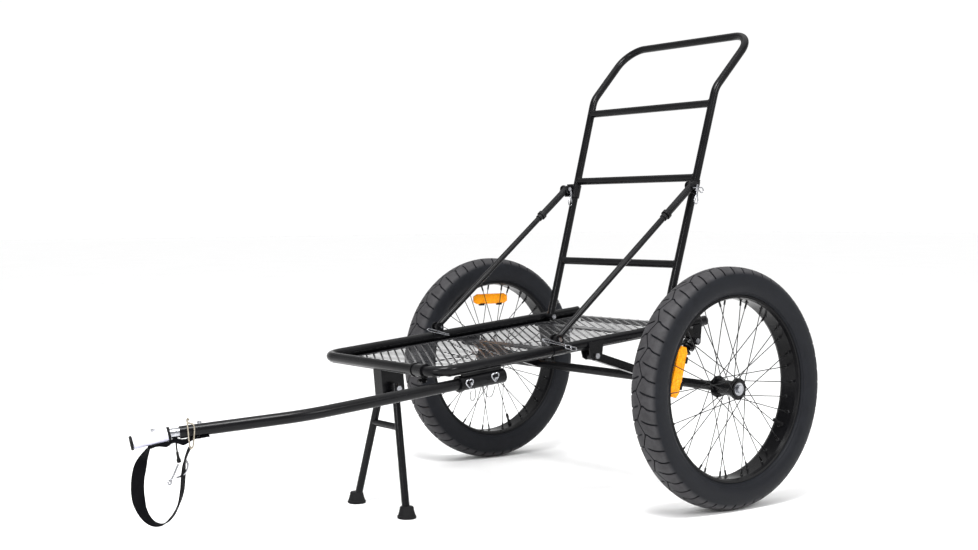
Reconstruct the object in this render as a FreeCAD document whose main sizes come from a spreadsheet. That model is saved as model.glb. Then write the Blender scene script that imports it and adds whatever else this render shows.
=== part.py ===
"""Two-wheeled game cart: a tilted tube bed with an expanded-metal deck, a folding push handle held by
two pinned braces, a sprung axle with spoked wheels, a folding kickstand, and a tow bar with its hitch.

Frame: +Z up, the hitch points to -X, the push handle stands at +X, and the receiver is on the -Y side.
The ground is Z = 0 and the origin is the middle of the object's box on the ground. Millimetres.
"""

import FreeCAD, Part
import math
import os
import Sketcher
from FreeCAD import Placement, Rotation, Vector

DRIVING_DIMENSIONS = {
    # wheels
    "tyre_od": 535, "tyre_width": 78, "tyre_wall": 5, "tyre_section_radius": 234.5, "bead_radius": 200.4,
    "track": 865,
    "rim_flange_radius": 205.5, "rim_width": 54, "rim_wall": 2, "rim_crown_radius": 197.2,
    "hub_flange_radius": 24, "hub_flange_spacing": 58, "hub_flange_thick": 3.5, "hub_shell_radius": 16.5,
    "hub_end_radius": 18, "hub_length": 66, "spoke_radius": 1, "spoke_circle_radius": 20.5,
    "nipple_radius": 2.2, "nipple_length": 14, "bearing_radius": 14, "bearing_width": 8,
    "axle_radius": 6, "running_gap": 0.05, "axle_head_radius": 8.5, "axle_head_length": 5,
    "valve_radius": 3.6, "valve_length": 30, "reflector_length": 112, "reflector_height": 27,
    "reflector_thick": 6, "reflector_circle_radius": 158,
    # bed
    "rail_od": 22.2, "rail_wall": 1.6, "bed_half_width": 230, "bed_tilt": 5.45, "rail_axle_height": 385.6,
    "bed_front": 641, "bed_rear": 136, "bed_corner_radius": 45, "deck_drop": 12.4, "deck_thick": 1.2,
    "deck_lip": 14, "crossbar_width": 25, "crossbar_thick": 3, "cap_length": 8, "cap_plug_length": 14,
    "panel_front": 620, "panel_rear": 120, "panel_half_width": 190, "clamp_start": 148, "clamp_end": 184,
    # handle
    "handle_od": 19, "handle_wall": 1.6, "handle_half_width": 208, "handle_top_half_width": 222,
    "handle_pivot_x": 25, "handle_bend_x": 186.5, "handle_bend_z": 953.8, "handle_top_x": 314.9,
    "handle_top_z": 1091.4, "handle_bend_radius": 60, "rung_low_z": 532.6, "rung_middle_z": 738,
    "rung_high_z": 916.5,
    # braces
    "brace_half_width": 228, "brace_foot_x": -318, "brace_foot_z": 377, "brace_head_x": 96.5,
    "brace_head_z": 718, "brace_rod_radius": 7, "brace_sleeve_radius": 8.75, "brace_sleeve_length": 120,
    "brace_pin_radius": 3, "brace_collar_radius": 11.5, "brace_collar_length": 9,
    # suspension
    "arm_pivot_x": -217, "arm_pivot_z": 336, "arm_size": 19, "arm_wall": 2, "beam_od": 21, "beam_wall": 3,
    "plug_start": 275, "lock_bolt_y": 300, "lock_bolt_radius": 4.5, "lock_bolt_length": 4.8,
    "shock_top_x": 94, "shock_top_z": 353, "shock_foot_x": 14.5, "shock_foot_z": 281, "shock_eye_radius": 8,
    "shock_eye_width": 21, "shock_body_radius": 9.5, "shock_bore_radius": 6.2, "shock_rod_radius": 4,
    "spring_radius": 14, "spring_wire_radius": 2.6, "spring_turns": 5, "perch_radius": 17, "perch_thick": 5,
    "bolt_radius": 4, "bolt_head_radius": 6.8, "bolt_head_length": 5, "cheek_thick": 3,
    # kickstand
    "kick_pivot_x": -612, "kick_pivot_z": 272, "kick_box_length": 58, "kick_box_width": 32,
    "kick_box_wall": 3, "leg_od": 17, "leg_wall": 1.6, "leg_top_half_width": 28, "foot_x": -633,
    "foot_half_width": 102, "foot_radius": 21, "foot_top_radius": 15, "foot_height": 26,
    "kick_bar_z": 188,
    # tow bar and hitch
    "bar_drop": 33, "bar_half_width": 226, "bar_od": 24, "bar_wall": 2, "bar_rear_x": -480,
    "bar_bend_x": -955, "bar_yaw": 18.5, "bar_bend_radius": 300, "bar_front_x": -1188, "receiver_od": 31,
    "receiver_wall": 3.3, "receiver_front_x": -585, "receiver_rear_x": -470, "stub_od": 19,
    "stub_reach": 17, "sleeve_od": 25.2, "sleeve_length": 66, "sleeve_droop": 6, "ring_od": 27.5,
    "ring_length": 5, "pin_radius": 3.5, "clip_wire_radius": 1.3,
    "strap_width": 25, "strap_thick": 2.4, "gather_width": 18,
}

doc = FreeCAD.newDocument("game_cart")
sheet = doc.addObject("Spreadsheet::Sheet", "Dims")
for row, (alias, number) in enumerate(DRIVING_DIMENSIONS.items(), start=1):
    sheet.set(f"A{row}", alias)
    sheet.set(f"B{row}", str(number))
    sheet.setAlias(f"B{row}", alias)
doc.recompute()


class Size:
    """A length with the spreadsheet expression that it comes from, so sums of dimensions stay bound."""

    def __init__(self, value, text):
        self.value = float(value)
        self.text = text

    @staticmethod
    def of(other):
        return other if isinstance(other, Size) else Size(other, f"({other})")

    def __float__(self):
        return self.value

    def __add__(self, other):
        other = Size.of(other)
        return Size(self.value + other.value, f"({self.text} + {other.text})")

    def __sub__(self, other):
        other = Size.of(other)
        return Size(self.value - other.value, f"({self.text} - {other.text})")

    def __mul__(self, other):
        other = Size.of(other)
        return Size(self.value * other.value, f"({self.text} * {other.text})")

    def __truediv__(self, other):
        other = Size.of(other)
        return Size(self.value / other.value, f"({self.text} / {other.text})")

    def __neg__(self):
        return Size(-self.value, f"(-{self.text})")


class Dims:
    """Reads the spreadsheet: dim.tyre_od is that cell as a Size."""

    def __getattr__(self, alias):
        return Size(sheet.get(alias), f"Dims.{alias}")


dim = Dims()
Y_AXIS = Vector(0, 1, 0)
Z_AXIS = Vector(0, 0, 1)
SIDES = {"near": -1, "far": 1}
nodes = []


def node(obj, label):
    """Names an object as a sub-part that gets its own file."""
    obj.Label = label
    nodes.append(obj)
    return obj


def bind(obj, prop, size):
    size = Size.of(size)
    setattr(obj, prop, size.value)
    if "Dims." in size.text:
        obj.setExpression(prop, size.text)


def turned(direction, start=Z_AXIS):
    return Rotation(start, direction)


def cylinder(name, radius, length, base, direction=Z_AXIS, centred=False):
    obj = doc.addObject("Part::Cylinder", name)
    bind(obj, "Radius", radius)
    bind(obj, "Height", length)
    unit = Vector(direction).normalize()
    if centred:
        base = base - unit * (float(length) / 2)
    obj.Placement = Placement(base, turned(unit))
    return obj


def rod(name, start, end, radius):
    span = end - start
    return cylinder(name, radius, span.Length, start, span)


def cone(name, radius_start, radius_end, length, base, direction):
    obj = doc.addObject("Part::Cone", name)
    bind(obj, "Radius1", radius_start)
    bind(obj, "Radius2", radius_end)
    bind(obj, "Height", length)
    obj.Placement = Placement(base, turned(direction))
    return obj


def box(name, size_x, size_y, size_z, centre, rotation=Rotation()):
    """A box about its centre, then turned about that centre."""
    obj = doc.addObject("Part::Box", name)
    bind(obj, "Length", size_x)
    bind(obj, "Width", size_y)
    bind(obj, "Height", size_z)
    half = Vector(float(size_x) / 2, float(size_y) / 2, float(size_z) / 2)
    obj.Placement = Placement(centre - rotation.multVec(half), rotation)
    return obj


def cut(name, base, *tools):
    tool = tools[0] if len(tools) == 1 else fuse(name + "_tools", *tools)
    obj = doc.addObject("Part::Cut", name)
    obj.Base = base
    obj.Tool = tool
    return obj


def fuse(name, *shapes):
    obj = doc.addObject("Part::MultiFuse", name)
    obj.Shapes = list(shapes)
    return obj


def group(name, *shapes):
    obj = doc.addObject("Part::Compound", name)
    obj.Links = list(shapes)
    return obj


def hollow(name, start, end, outer, inner):
    """A straight tube."""
    return cut(name, rod(name + "_outer", start, end, outer), rod(name + "_inner", start, end, inner))


def bolt(name, start, end, radius, head_radius, head_length):
    """A bolt from start to end with a hexagon head outside start and a nut outside end."""
    unit = Vector(end - start).normalize()
    shank = rod(name + "_shank", start - unit * 0.5, end + unit * 0.5, radius)
    pieces = [shank]
    for tag, base in (("head", start - unit * float(head_length)), ("nut", end)):
        prism = doc.addObject("Part::Prism", f"{name}_{tag}")
        prism.Polygon = 6
        bind(prism, "Circumradius", head_radius)
        bind(prism, "Height", head_length)
        prism.Placement = Placement(base, turned(unit))
        pieces.append(prism)
    return fuse(name, *pieces)


def origin_plane(body, role):
    return next(item for item in body.Origin.OriginFeatures if item.Role == role)


def new_sketch(body, name, role, offset=None):
    sketch = body.newObject("Sketcher::SketchObject", name)
    sketch.AttachmentSupport = [(origin_plane(body, role), "")]
    sketch.MapMode = "FlatFace"
    if offset is not None:
        sketch.AttachmentOffset = Placement(offset, Rotation())
    return sketch


def draw_polygon(sketch, corners):
    """A closed polygon whose corners are bound to the sheet."""
    points = [Vector(float(x), float(y), 0) for x, y in corners]
    first = sketch.GeometryCount
    for index, point in enumerate(points):
        sketch.addGeometry(Part.LineSegment(point, points[(index + 1) % len(points)]), False)
    for index in range(len(points)):
        following = first + (index + 1) % len(points)
        sketch.addConstraint(Sketcher.Constraint("Coincident", first + index, 2, following, 1))
    for index, (x, y) in enumerate(corners):
        for kind, size in (("DistanceX", Size.of(x)), ("DistanceY", Size.of(y))):
            row = sketch.addConstraint(Sketcher.Constraint(kind, -1, 1, first + index, 1, size.value))
            if "Dims." in size.text:
                sketch.setExpression(f"Constraints[{row}]", size.text)


def draw_circle(sketch, centre, radius):
    x, y = (Size.of(value) for value in centre)
    radius = Size.of(radius)
    circle = sketch.addGeometry(Part.Circle(Vector(x.value, y.value, 0), Z_AXIS, radius.value), False)
    for kind, size in (("DistanceX", x), ("DistanceY", y)):
        row = sketch.addConstraint(Sketcher.Constraint(kind, -1, 1, circle, 3, size.value))
        if "Dims." in size.text:
            sketch.setExpression(f"Constraints[{row}]", size.text)
    row = sketch.addConstraint(Sketcher.Constraint("Radius", circle, radius.value))
    if "Dims." in radius.text:
        sketch.setExpression(f"Constraints[{row}]", radius.text)


def turned_body(label, corners, placement):
    """A part turned on a lathe: corners are (along, radius), and it turns about its own X axis."""
    body = doc.addObject("PartDesign::Body", label)
    sketch = new_sketch(body, label + "_profile", "XY_Plane")
    draw_polygon(sketch, corners)
    revolution = body.newObject("PartDesign::Revolution", label + "_turn")
    revolution.Profile = sketch
    revolution.ReferenceAxis = (sketch, ["H_Axis"])
    revolution.Angle = 360
    body.Placement = placement
    return body


def padded_body(label, corners, thickness, placement, holes=()):
    """A plate cut from a polygon, with round holes, padded both ways from its own XY plane."""
    body = doc.addObject("PartDesign::Body", label)
    sketch = new_sketch(body, label + "_outline", "XY_Plane")
    draw_polygon(sketch, corners)
    for centre, radius in holes:
        draw_circle(sketch, centre, radius)
    pad = body.newObject("PartDesign::Pad", label + "_pad")
    pad.Profile = sketch
    bind(pad, "Length", thickness)
    pad.Midplane = True
    body.Placement = placement
    return body


def rounded_path(points, radii):
    """Straight runs joined by tangent arcs, one radius for each inner point."""
    edges = []
    start = points[0]
    for before, point, after, radius in zip(points, points[1:], points[2:], radii):
        arrive = (point - before).normalize()
        leave = (after - point).normalize()
        half_turn = arrive.getAngle(leave) / 2
        reach = radius * math.tan(half_turn)
        arc_start = point - arrive * reach
        arc_end = point + leave * reach
        inward = (leave - arrive).normalize()
        centre = point + inward * (radius / math.cos(half_turn))
        middle = centre - inward * radius
        edges.append(Part.LineSegment(start, arc_start).toShape())
        edges.append(Part.Arc(arc_start, middle, arc_end).toShape())
        start = arc_end
    edges.append(Part.LineSegment(start, points[-1]).toShape())
    return Part.Wire(edges)


def swept(points, radii, radius):
    path = rounded_path(points, radii)
    section = Part.Circle(points[0], points[1] - points[0], float(radius)).toShape()
    return path.makePipeShell([Part.Wire(section)], True, False)


def bent_tube(label, points, radii, outer, inner):
    """A bent round tube, open at both ends."""
    obj = doc.addObject("Part::Feature", label)
    obj.Shape = swept(points, radii, outer).cut(swept(points, radii, inner))
    return obj


# ---------------------------------------------------------------- places
# Every place below is first given from the axle: X = 0 at the axle and Z = 0 on the ground.
tilt = math.radians(float(dim.bed_tilt))
BED_TURN = Rotation(Y_AXIS, -float(dim.bed_tilt))
wheel_radius = dim.tyre_od / 2
half_track = float(dim.track) / 2
yaw = math.radians(float(dim.bar_yaw))
droop = math.radians(float(dim.sleeve_droop)) + tilt
rail_radius = dim.rail_od / 2
handle_radius = dim.handle_od / 2

bar_front_along = float(dim.bar_front_x) / math.cos(tilt)
bar_bend_along = float(dim.bar_bend_x) / math.cos(tilt)
bar_front_y = (bar_bend_along - bar_front_along) * math.tan(yaw) - float(dim.bar_half_width)
bar_unit = BED_TURN.multVec(Vector(-math.cos(yaw), math.sin(yaw), 0))
sleeve_unit = Vector(-math.cos(yaw) * math.cos(droop), math.sin(yaw) * math.cos(droop), -math.sin(droop))
sleeve_gap = 0.7
sleeve_start = float(dim.ring_length) + sleeve_gap
sleeve_end = sleeve_start + float(dim.sleeve_length)
hitch_end = sleeve_end + float(dim.ring_length) + sleeve_gap


def tilted(along, y, up):
    """A point of the tilted bed, measured from the axle: along it, across it, above the rails' centres."""
    turned_point = BED_TURN.multVec(Vector(along, y, up))
    return turned_point + Vector(0, 0, float(dim.rail_axle_height))


# The object's box runs from the hitch's front ring to the back of the handle's top bar.
hitch_root = tilted(bar_front_along, bar_front_y, -float(dim.bar_drop)) + bar_unit * float(dim.stub_reach)
ring_lean = math.sqrt(1 - sleeve_unit.x**2) * float(dim.ring_od) / 2
front_reach = (hitch_root + sleeve_unit * hitch_end).x - ring_lean
rear_reach = float(dim.handle_top_x + handle_radius)
axle_x = -(front_reach + rear_reach) / 2


def at(x, y, z):
    """A point given from the axle."""
    return Vector(x + axle_x, y, z)


def on_bed(along, y, up):
    return tilted(along, y, up) + Vector(axle_x, 0, 0)


def rail_height(x):
    return float(dim.rail_axle_height) + x * math.tan(tilt)


# ---------------------------------------------------------------- wheels
def tyre_section(half_width, half_height, lip):
    """Half a boxy oval, from the tread's middle down to where the wall is `lip` wide, as (across, up)."""
    squareness = 2.6
    stop = math.pi - math.asin((lip / half_width) ** (squareness / 2))
    steps = 14
    points = []
    for index in range(steps + 1):
        angle = stop * index / steps
        across = half_width * math.sin(angle) ** (2 / squareness)
        up = half_height * math.copysign(abs(math.cos(angle)) ** (2 / squareness), math.cos(angle))
        points.append((across, float(dim.tyre_section_radius) + up))
    return points


def make_tyre(side_name, centre):
    half_width = float(dim.tyre_width) / 2
    half_height = float(wheel_radius) - float(dim.tyre_section_radius)
    wall = float(dim.tyre_wall)
    bead = float(dim.rim_width) / 2 - float(dim.rim_wall) - 0.3
    outer = tyre_section(half_width, half_height, bead)
    inner = tyre_section(half_width - wall, half_height - wall, bead - wall)
    right = outer + [(bead, float(dim.bead_radius)), (bead - wall, float(dim.bead_radius))] + inner[::-1]
    left = [(-across, up) for across, up in right[::-1]]
    profile = [Vector(0, across, up) for across, up in right + left[1:-1]]
    face = Part.Face(Part.makePolygon(profile + profile[:1]))
    tyre = doc.addObject("Part::Feature", f"tyre_{side_name}")
    tyre.Shape = face.revolve(Vector(0, 0, 0), Y_AXIS, 360)
    tyre.Placement = Placement(centre, Rotation())
    return tyre


def make_rim(side_name, centre):
    half = dim.rim_width / 2
    floor = dim.rim_crown_radius + 2.8
    corners = [
        (-half, dim.rim_flange_radius), (-half, floor), (-half * 0.74, dim.rim_crown_radius),
        (half * 0.74, dim.rim_crown_radius), (half, floor), (half, dim.rim_flange_radius),
        (half - dim.rim_wall, dim.rim_flange_radius), (half - dim.rim_wall, floor + 0.3),
        (half * 0.7, dim.rim_crown_radius + dim.rim_wall),
        (-half * 0.7, dim.rim_crown_radius + dim.rim_wall),
        (dim.rim_wall - half, floor + 0.3), (dim.rim_wall - half, dim.rim_flange_radius),
    ]
    return turned_body(f"rim_{side_name}", corners, Placement(centre, turned(Y_AXIS, Vector(1, 0, 0))))


def make_hub(side_name, centre):
    half_length = dim.hub_length / 2
    flange = dim.hub_flange_spacing / 2
    half_thick = dim.hub_flange_thick / 2
    seat = half_length - dim.bearing_width
    through = dim.axle_radius + 2
    corners = [
        (-half_length, dim.hub_end_radius), (-flange - half_thick, dim.hub_end_radius),
        (-flange - half_thick, dim.hub_flange_radius), (half_thick - flange, dim.hub_flange_radius),
        (half_thick - flange, dim.hub_shell_radius), (flange - half_thick, dim.hub_shell_radius),
        (flange - half_thick, dim.hub_flange_radius), (flange + half_thick, dim.hub_flange_radius),
        (flange + half_thick, dim.hub_end_radius), (half_length, dim.hub_end_radius),
        (half_length, dim.bearing_radius), (seat, dim.bearing_radius), (seat, through), (-seat, through),
        (-seat, dim.bearing_radius), (-half_length, dim.bearing_radius),
    ]
    return turned_body(f"hub_{side_name}", corners, Placement(centre, turned(Y_AXIS, Vector(1, 0, 0))))


def make_bearings(side_name, centre):
    rings = []
    for sign in (-1, 1):
        name = f"bearing_{side_name}_{'in' if sign < 0 else 'out'}"
        middle = centre + Y_AXIS * sign * (float(dim.hub_length) - float(dim.bearing_width)) / 2
        outer = cylinder(name + "_ring", dim.bearing_radius, dim.bearing_width, middle, Y_AXIS, True)
        bore_radius = dim.axle_radius + dim.running_gap
        bore = cylinder(name + "_bore", bore_radius, dim.bearing_width, middle, Y_AXIS, True)
        rings.append(cut(name, outer, bore))
    return group(f"wheel_bearings_{side_name}", *rings)


def make_spokes(side_name, centre):
    """Thirty-six spokes, each crossing three others on its own flange, with a nipple at the rim."""
    per_flange = 18
    pitch = 360 / per_flange
    crossing = 3 * pitch
    pieces = []
    for flange_sign in (-1, 1):
        for index in range(per_flange):
            lean = 1 if index % 2 == 0 else -1
            hub_angle = math.radians(index * pitch + (pitch / 2 if flange_sign > 0 else 0))
            rim_angle = hub_angle + lean * math.radians(crossing)
            offset = lean * (float(dim.hub_flange_thick) / 2 + float(dim.spoke_radius) + 0.6)
            hub_y = flange_sign * float(dim.hub_flange_spacing) / 2 + offset
            hub_r = float(dim.spoke_circle_radius)
            rim_r = float(dim.rim_crown_radius) - 0.5
            rim_y = flange_sign * 7
            hub_end = centre + Vector(hub_r * math.cos(hub_angle), hub_y, hub_r * math.sin(hub_angle))
            rim_end = centre + Vector(rim_r * math.cos(rim_angle), rim_y, rim_r * math.sin(rim_angle))
            joint = rim_end + (hub_end - rim_end).normalize() * float(dim.nipple_length)
            name = f"spoke_{side_name}_{'in' if flange_sign < 0 else 'out'}_{index}"
            pieces.append(rod(name, hub_end, joint, dim.spoke_radius))
            pieces.append(rod(name + "_nipple", joint, rim_end, dim.nipple_radius))
    return group(f"spokes_{side_name}", *pieces)


def make_reflector(side_name, centre, angle):
    radial = Vector(math.cos(angle), 0, math.sin(angle))
    middle = centre + radial * float(dim.reflector_circle_radius)
    spin = Rotation(Y_AXIS, 90 - math.degrees(angle))
    size = (dim.reflector_length, dim.reflector_thick, dim.reflector_height)
    return box(f"reflector_{side_name}", *size, middle, spin)


def make_valve(side_name, centre, angle):
    radial = Vector(math.cos(angle), 0, math.sin(angle))
    outer = centre + radial * float(dim.rim_crown_radius)
    return rod(f"valve_stem_{side_name}", outer - radial * float(dim.valve_length), outer, dim.valve_radius)


wheel_marks = {"near": (163.5, -29), "far": (90, -71)}
for side_name, sign in SIDES.items():
    wheel_centre = at(0, sign * half_track, float(wheel_radius))
    reflector_angle, valve_angle = (math.radians(angle) for angle in wheel_marks[side_name])
    node(make_tyre(side_name, wheel_centre), f"tyre_{side_name}")
    node(make_rim(side_name, wheel_centre), f"rim_{side_name}")
    node(make_spokes(side_name, wheel_centre), f"spokes_{side_name}")
    node(make_hub(side_name, wheel_centre), f"hub_{side_name}")
    node(make_bearings(side_name, wheel_centre), f"wheel_bearings_{side_name}")
    node(make_reflector(side_name, wheel_centre, reflector_angle), f"reflector_{side_name}")
    node(make_valve(side_name, wheel_centre, valve_angle), f"valve_stem_{side_name}")

# ---------------------------------------------------------------- sprung axle
beam_radius = dim.beam_od / 2
beam_half_length = half_track - float(dim.hub_length) / 2 - 6
beam_outer = rod("axle_beam_outer", at(0, -beam_half_length, float(wheel_radius)),
                 at(0, beam_half_length, float(wheel_radius)), beam_radius)
beam_bore = rod("axle_beam_bore", at(0, -beam_half_length, float(wheel_radius)),
                at(0, beam_half_length, float(wheel_radius)), beam_radius - dim.beam_wall)
node(cut("axle_beam_tube", beam_outer, beam_bore), "axle_beam")

arm_pivot = (float(dim.arm_pivot_x), float(dim.arm_pivot_z))
arm_length = math.hypot(arm_pivot[0], arm_pivot[1] - float(wheel_radius))
arm_slope = math.atan2(float(wheel_radius) - arm_pivot[1], -arm_pivot[0])
ARM_TURN = Rotation(Y_AXIS, -math.degrees(arm_slope))
cheek_gap = dim.rail_od / 2 + 0.1
arm_eye_width = cheek_gap * 2 - 0.6


def make_arm(side_name, lane):
    """A square tube from the pivot eye under the rail to the axle beam, which it is welded round."""
    name = f"swing_arm_{side_name}"
    middle = at(arm_pivot[0] / 2, lane, (arm_pivot[1] + float(wheel_radius)) / 2)
    pivot = at(arm_pivot[0], lane, arm_pivot[1])
    outer = box(name + "_outer", arm_length, dim.arm_size, dim.arm_size, middle, ARM_TURN)
    hollow_size = dim.arm_size - dim.arm_wall * 2
    inner = box(name + "_inner", arm_length - 40, hollow_size, hollow_size, middle, ARM_TURN)
    eye = cylinder(name + "_eye", dim.arm_size / 2 + 1, arm_eye_width, pivot, Y_AXIS, True)
    seat = cylinder(name + "_seat", beam_radius, 60, at(0, lane, float(wheel_radius)), Y_AXIS, True)
    hole = cylinder(name + "_hole", dim.bolt_radius + dim.running_gap, 60, pivot, Y_AXIS, True)
    return cut(name + "_body", fuse(name + "_solid", outer, eye), inner, seat, hole)


def make_stub_axle(side_name, sign):
    """A turned axle: a plug in the beam, a shoulder outside it, and the journal that the hub turns on."""
    name = f"stub_axle_{side_name}"
    height = float(wheel_radius)
    plug_start = float(dim.plug_start)
    shoulder = half_track - float(dim.hub_length) / 2 - 0.5
    end = half_track + float(dim.hub_length) / 2 + 1
    plug = rod(name + "_plug", at(0, sign * plug_start, height), at(0, sign * beam_half_length, height),
               beam_radius - dim.beam_wall)
    collar = rod(name + "_collar", at(0, sign * beam_half_length, height), at(0, sign * shoulder, height),
                 beam_radius - 1)
    journal = rod(name + "_journal", at(0, sign * shoulder, height), at(0, sign * end, height),
                  dim.axle_radius)
    return fuse(name, plug, collar, journal)


def make_axle_nut(side_name, sign):
    start = half_track + float(dim.hub_length) / 2 + 0.5
    place = at(0, sign * start, float(wheel_radius))
    name = f"axle_nut_{side_name}"
    outer = cylinder(name + "_cap", dim.axle_head_radius, dim.axle_head_length, place, Y_AXIS * sign)
    bore = cylinder(name + "_bore", dim.axle_radius, 0.5, place, Y_AXIS * sign)
    return cut(name, outer, bore)


def make_lock_bolt(side_name, sign):
    """The head of the screw in the beam's front that holds a stub axle in, seated on the beam."""
    name = f"axle_lock_bolt_{side_name}"
    place = at(0, sign * float(dim.lock_bolt_y), float(wheel_radius))
    head = cylinder(name + "_head", dim.lock_bolt_radius, beam_radius + dim.lock_bolt_length, place,
                    Vector(-1, 0, 0))
    seat = cylinder(name + "_seat", beam_radius, 40, place, Y_AXIS, True)
    return cut(name, head, seat)


for side_name, sign in SIDES.items():
    node(make_arm(side_name, sign * float(dim.bed_half_width)), f"swing_arm_{side_name}")
node(group("stub_axle_pair", *[make_stub_axle(name, sign) for name, sign in SIDES.items()]), "stub_axles")
axle_fasteners = [make_axle_nut(name, sign) for name, sign in SIDES.items()]
axle_fasteners += [make_lock_bolt(name, sign) for name, sign in SIDES.items()]
node(group("axle_fastener_set", *axle_fasteners), "axle_fasteners")

# ---------------------------------------------------------------- shock absorbers
shock_top = (float(dim.shock_top_x), float(dim.shock_top_z))
shock_foot = (float(dim.shock_foot_x), float(dim.shock_foot_z))
shock_length = math.hypot(shock_top[0] - shock_foot[0], shock_top[1] - shock_foot[1])
shock_unit = Vector(shock_foot[0] - shock_top[0], 0, shock_foot[1] - shock_top[1]).normalize()
perch_start = 11
perch_end = perch_start + float(dim.perch_thick) + 3
body_end = 58
foot_perch_start = shock_length - 21
rod_start = 44


def shock_point(lane, along):
    """A point on a shock's axis, from its top eye."""
    return at(shock_top[0], lane, shock_top[1]) + shock_unit * along


def make_shock_body(side_name, lane):
    name = f"shock_body_{side_name}"
    top = shock_point(lane, 0)
    perch = shock_point(lane, perch_end)
    end = shock_point(lane, body_end)
    eye = cylinder(name + "_eye", dim.shock_eye_radius, dim.shock_eye_width, top, Y_AXIS, True)
    collar = rod(name + "_collar", shock_point(lane, perch_start), perch, dim.perch_radius)
    barrel = rod(name + "_barrel", shock_point(lane, 4), end, dim.shock_body_radius)
    bore = rod(name + "_bore", perch, end, dim.shock_bore_radius)
    hole = cylinder(name + "_hole", dim.bolt_radius + dim.running_gap, 60, top, Y_AXIS, True)
    return cut(name + "_solid", fuse(name + "_shape", eye, collar, barrel), bore, hole)


def make_shock_rod(side_name, lane):
    name = f"shock_rod_{side_name}"
    foot = shock_point(lane, shock_length)
    eye = cylinder(name + "_eye", dim.shock_eye_radius, dim.shock_eye_width, foot, Y_AXIS, True)
    perch = rod(name + "_perch", shock_point(lane, foot_perch_start),
                shock_point(lane, foot_perch_start + float(dim.perch_thick)), dim.perch_radius)
    stem = rod(name + "_stem", shock_point(lane, rod_start), shock_point(lane, shock_length - 4),
               dim.shock_rod_radius)
    hole = cylinder(name + "_hole", dim.bolt_radius + dim.running_gap, 60, foot, Y_AXIS, True)
    return cut(name + "_solid", fuse(name + "_shape", eye, perch, stem), hole)


def make_spring(side_name, lane):
    wire = float(dim.spring_wire_radius)
    clear = 0.4
    height = foot_perch_start - perch_end - 2 * (wire + clear)
    coil = Part.makeHelix(height / float(dim.spring_turns), height, float(dim.spring_radius))
    section = Part.Circle(Vector(float(dim.spring_radius), 0, 0), Y_AXIS, wire).toShape()
    spring = doc.addObject("Part::Feature", f"shock_spring_{side_name}")
    spring.Shape = Part.Wire(coil.Edges).makePipeShell([Part.Wire(section)], True, True)
    spring.Placement = Placement(shock_point(lane, perch_end + wire + clear), turned(shock_unit))
    return spring


def make_shock_lugs(side_name, lane):
    """Two ears welded on the axle beam, with the bolt through them that holds a shock's foot."""
    name = f"shock_lugs_{side_name}"
    beam = at(0, lane, float(wheel_radius))
    foot = shock_point(lane, shock_length)
    ears = []
    for tag, sign in (("in", -1), ("out", 1)):
        offset = Vector(0, sign * (float(cheek_gap) + float(dim.cheek_thick) / 2), 0)
        span = foot - beam
        strap_turn = Rotation(Vector(1, 0, 0), span)
        plate = box(f"{name}_{tag}_plate", span.Length, dim.cheek_thick, dim.shock_eye_radius * 2,
                    beam + span * 0.5 + offset, strap_turn)
        tip = cylinder(f"{name}_{tag}_tip", dim.shock_eye_radius, dim.cheek_thick, foot + offset, Y_AXIS,
                       True)
        ears += [plate, tip]
    bolt_half = float(cheek_gap) + float(dim.cheek_thick)
    pin = bolt(name + "_bolt", foot - Y_AXIS * bolt_half, foot + Y_AXIS * bolt_half, dim.bolt_radius,
               dim.bolt_head_radius, dim.bolt_head_length)
    seat = cylinder(name + "_seat", beam_radius, 60, beam, Y_AXIS, True)
    return cut(name, fuse(name + "_solid", *ears, pin), seat)


for side_name, sign in SIDES.items():
    lane = sign * float(dim.bed_half_width)
    node(make_shock_body(side_name, lane), f"shock_body_{side_name}")
    node(make_shock_rod(side_name, lane), f"shock_rod_{side_name}")
    node(make_spring(side_name, lane), f"shock_spring_{side_name}")
lug_pairs = [make_shock_lugs(name, sign * float(dim.bed_half_width)) for name, sign in SIDES.items()]
node(group("shock_lug_pairs", *lug_pairs), "shock_lugs")

# ---------------------------------------------------------------- bed
BED_PLACE = Placement(on_bed(0, 0, 0), BED_TURN)
deck_bottom = -float(dim.deck_drop) - float(dim.deck_thick) / 2
deck_top = deck_bottom + float(dim.deck_thick)
bed_front_along = float(dim.bed_front) / math.cos(tilt)
bed_rear_along = float(dim.bed_rear) / math.cos(tilt)


def pipe_body(label, points, bend_radius, outer, inner, placement):
    """A round tube bent in its own XY plane: straight runs between the corners in points, equal bends."""
    body = doc.addObject("PartDesign::Body", label)
    path = new_sketch(body, label + "_path", "XY_Plane")
    spots = [Vector(float(x), float(y), 0) for x, y in points]
    edges = rounded_path(spots, [float(bend_radius)] * (len(spots) - 2)).Edges
    for edge in edges:
        curve = edge.Curve
        if isinstance(curve, Part.Circle):
            middle = edge.valueAt((edge.FirstParameter + edge.LastParameter) / 2)
            path.addGeometry(Part.Arc(edge.Vertexes[0].Point, middle, edge.Vertexes[1].Point), False)
        else:
            path.addGeometry(Part.LineSegment(edge.Vertexes[0].Point, edge.Vertexes[1].Point), False)
    profile = new_sketch(body, label + "_section", "YZ_Plane", Vector(spots[0].y, 0, spots[0].x))
    draw_circle(profile, (0, 0), outer)
    draw_circle(profile, (0, 0), inner)
    pipe = body.newObject("PartDesign::AdditivePipe", label + "_pipe")
    pipe.Profile = profile
    pipe.Spine = (path, [f"Edge{index + 1}" for index in range(len(edges))])
    pipe.Mode = "Frenet"
    body.Placement = placement
    return body


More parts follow.
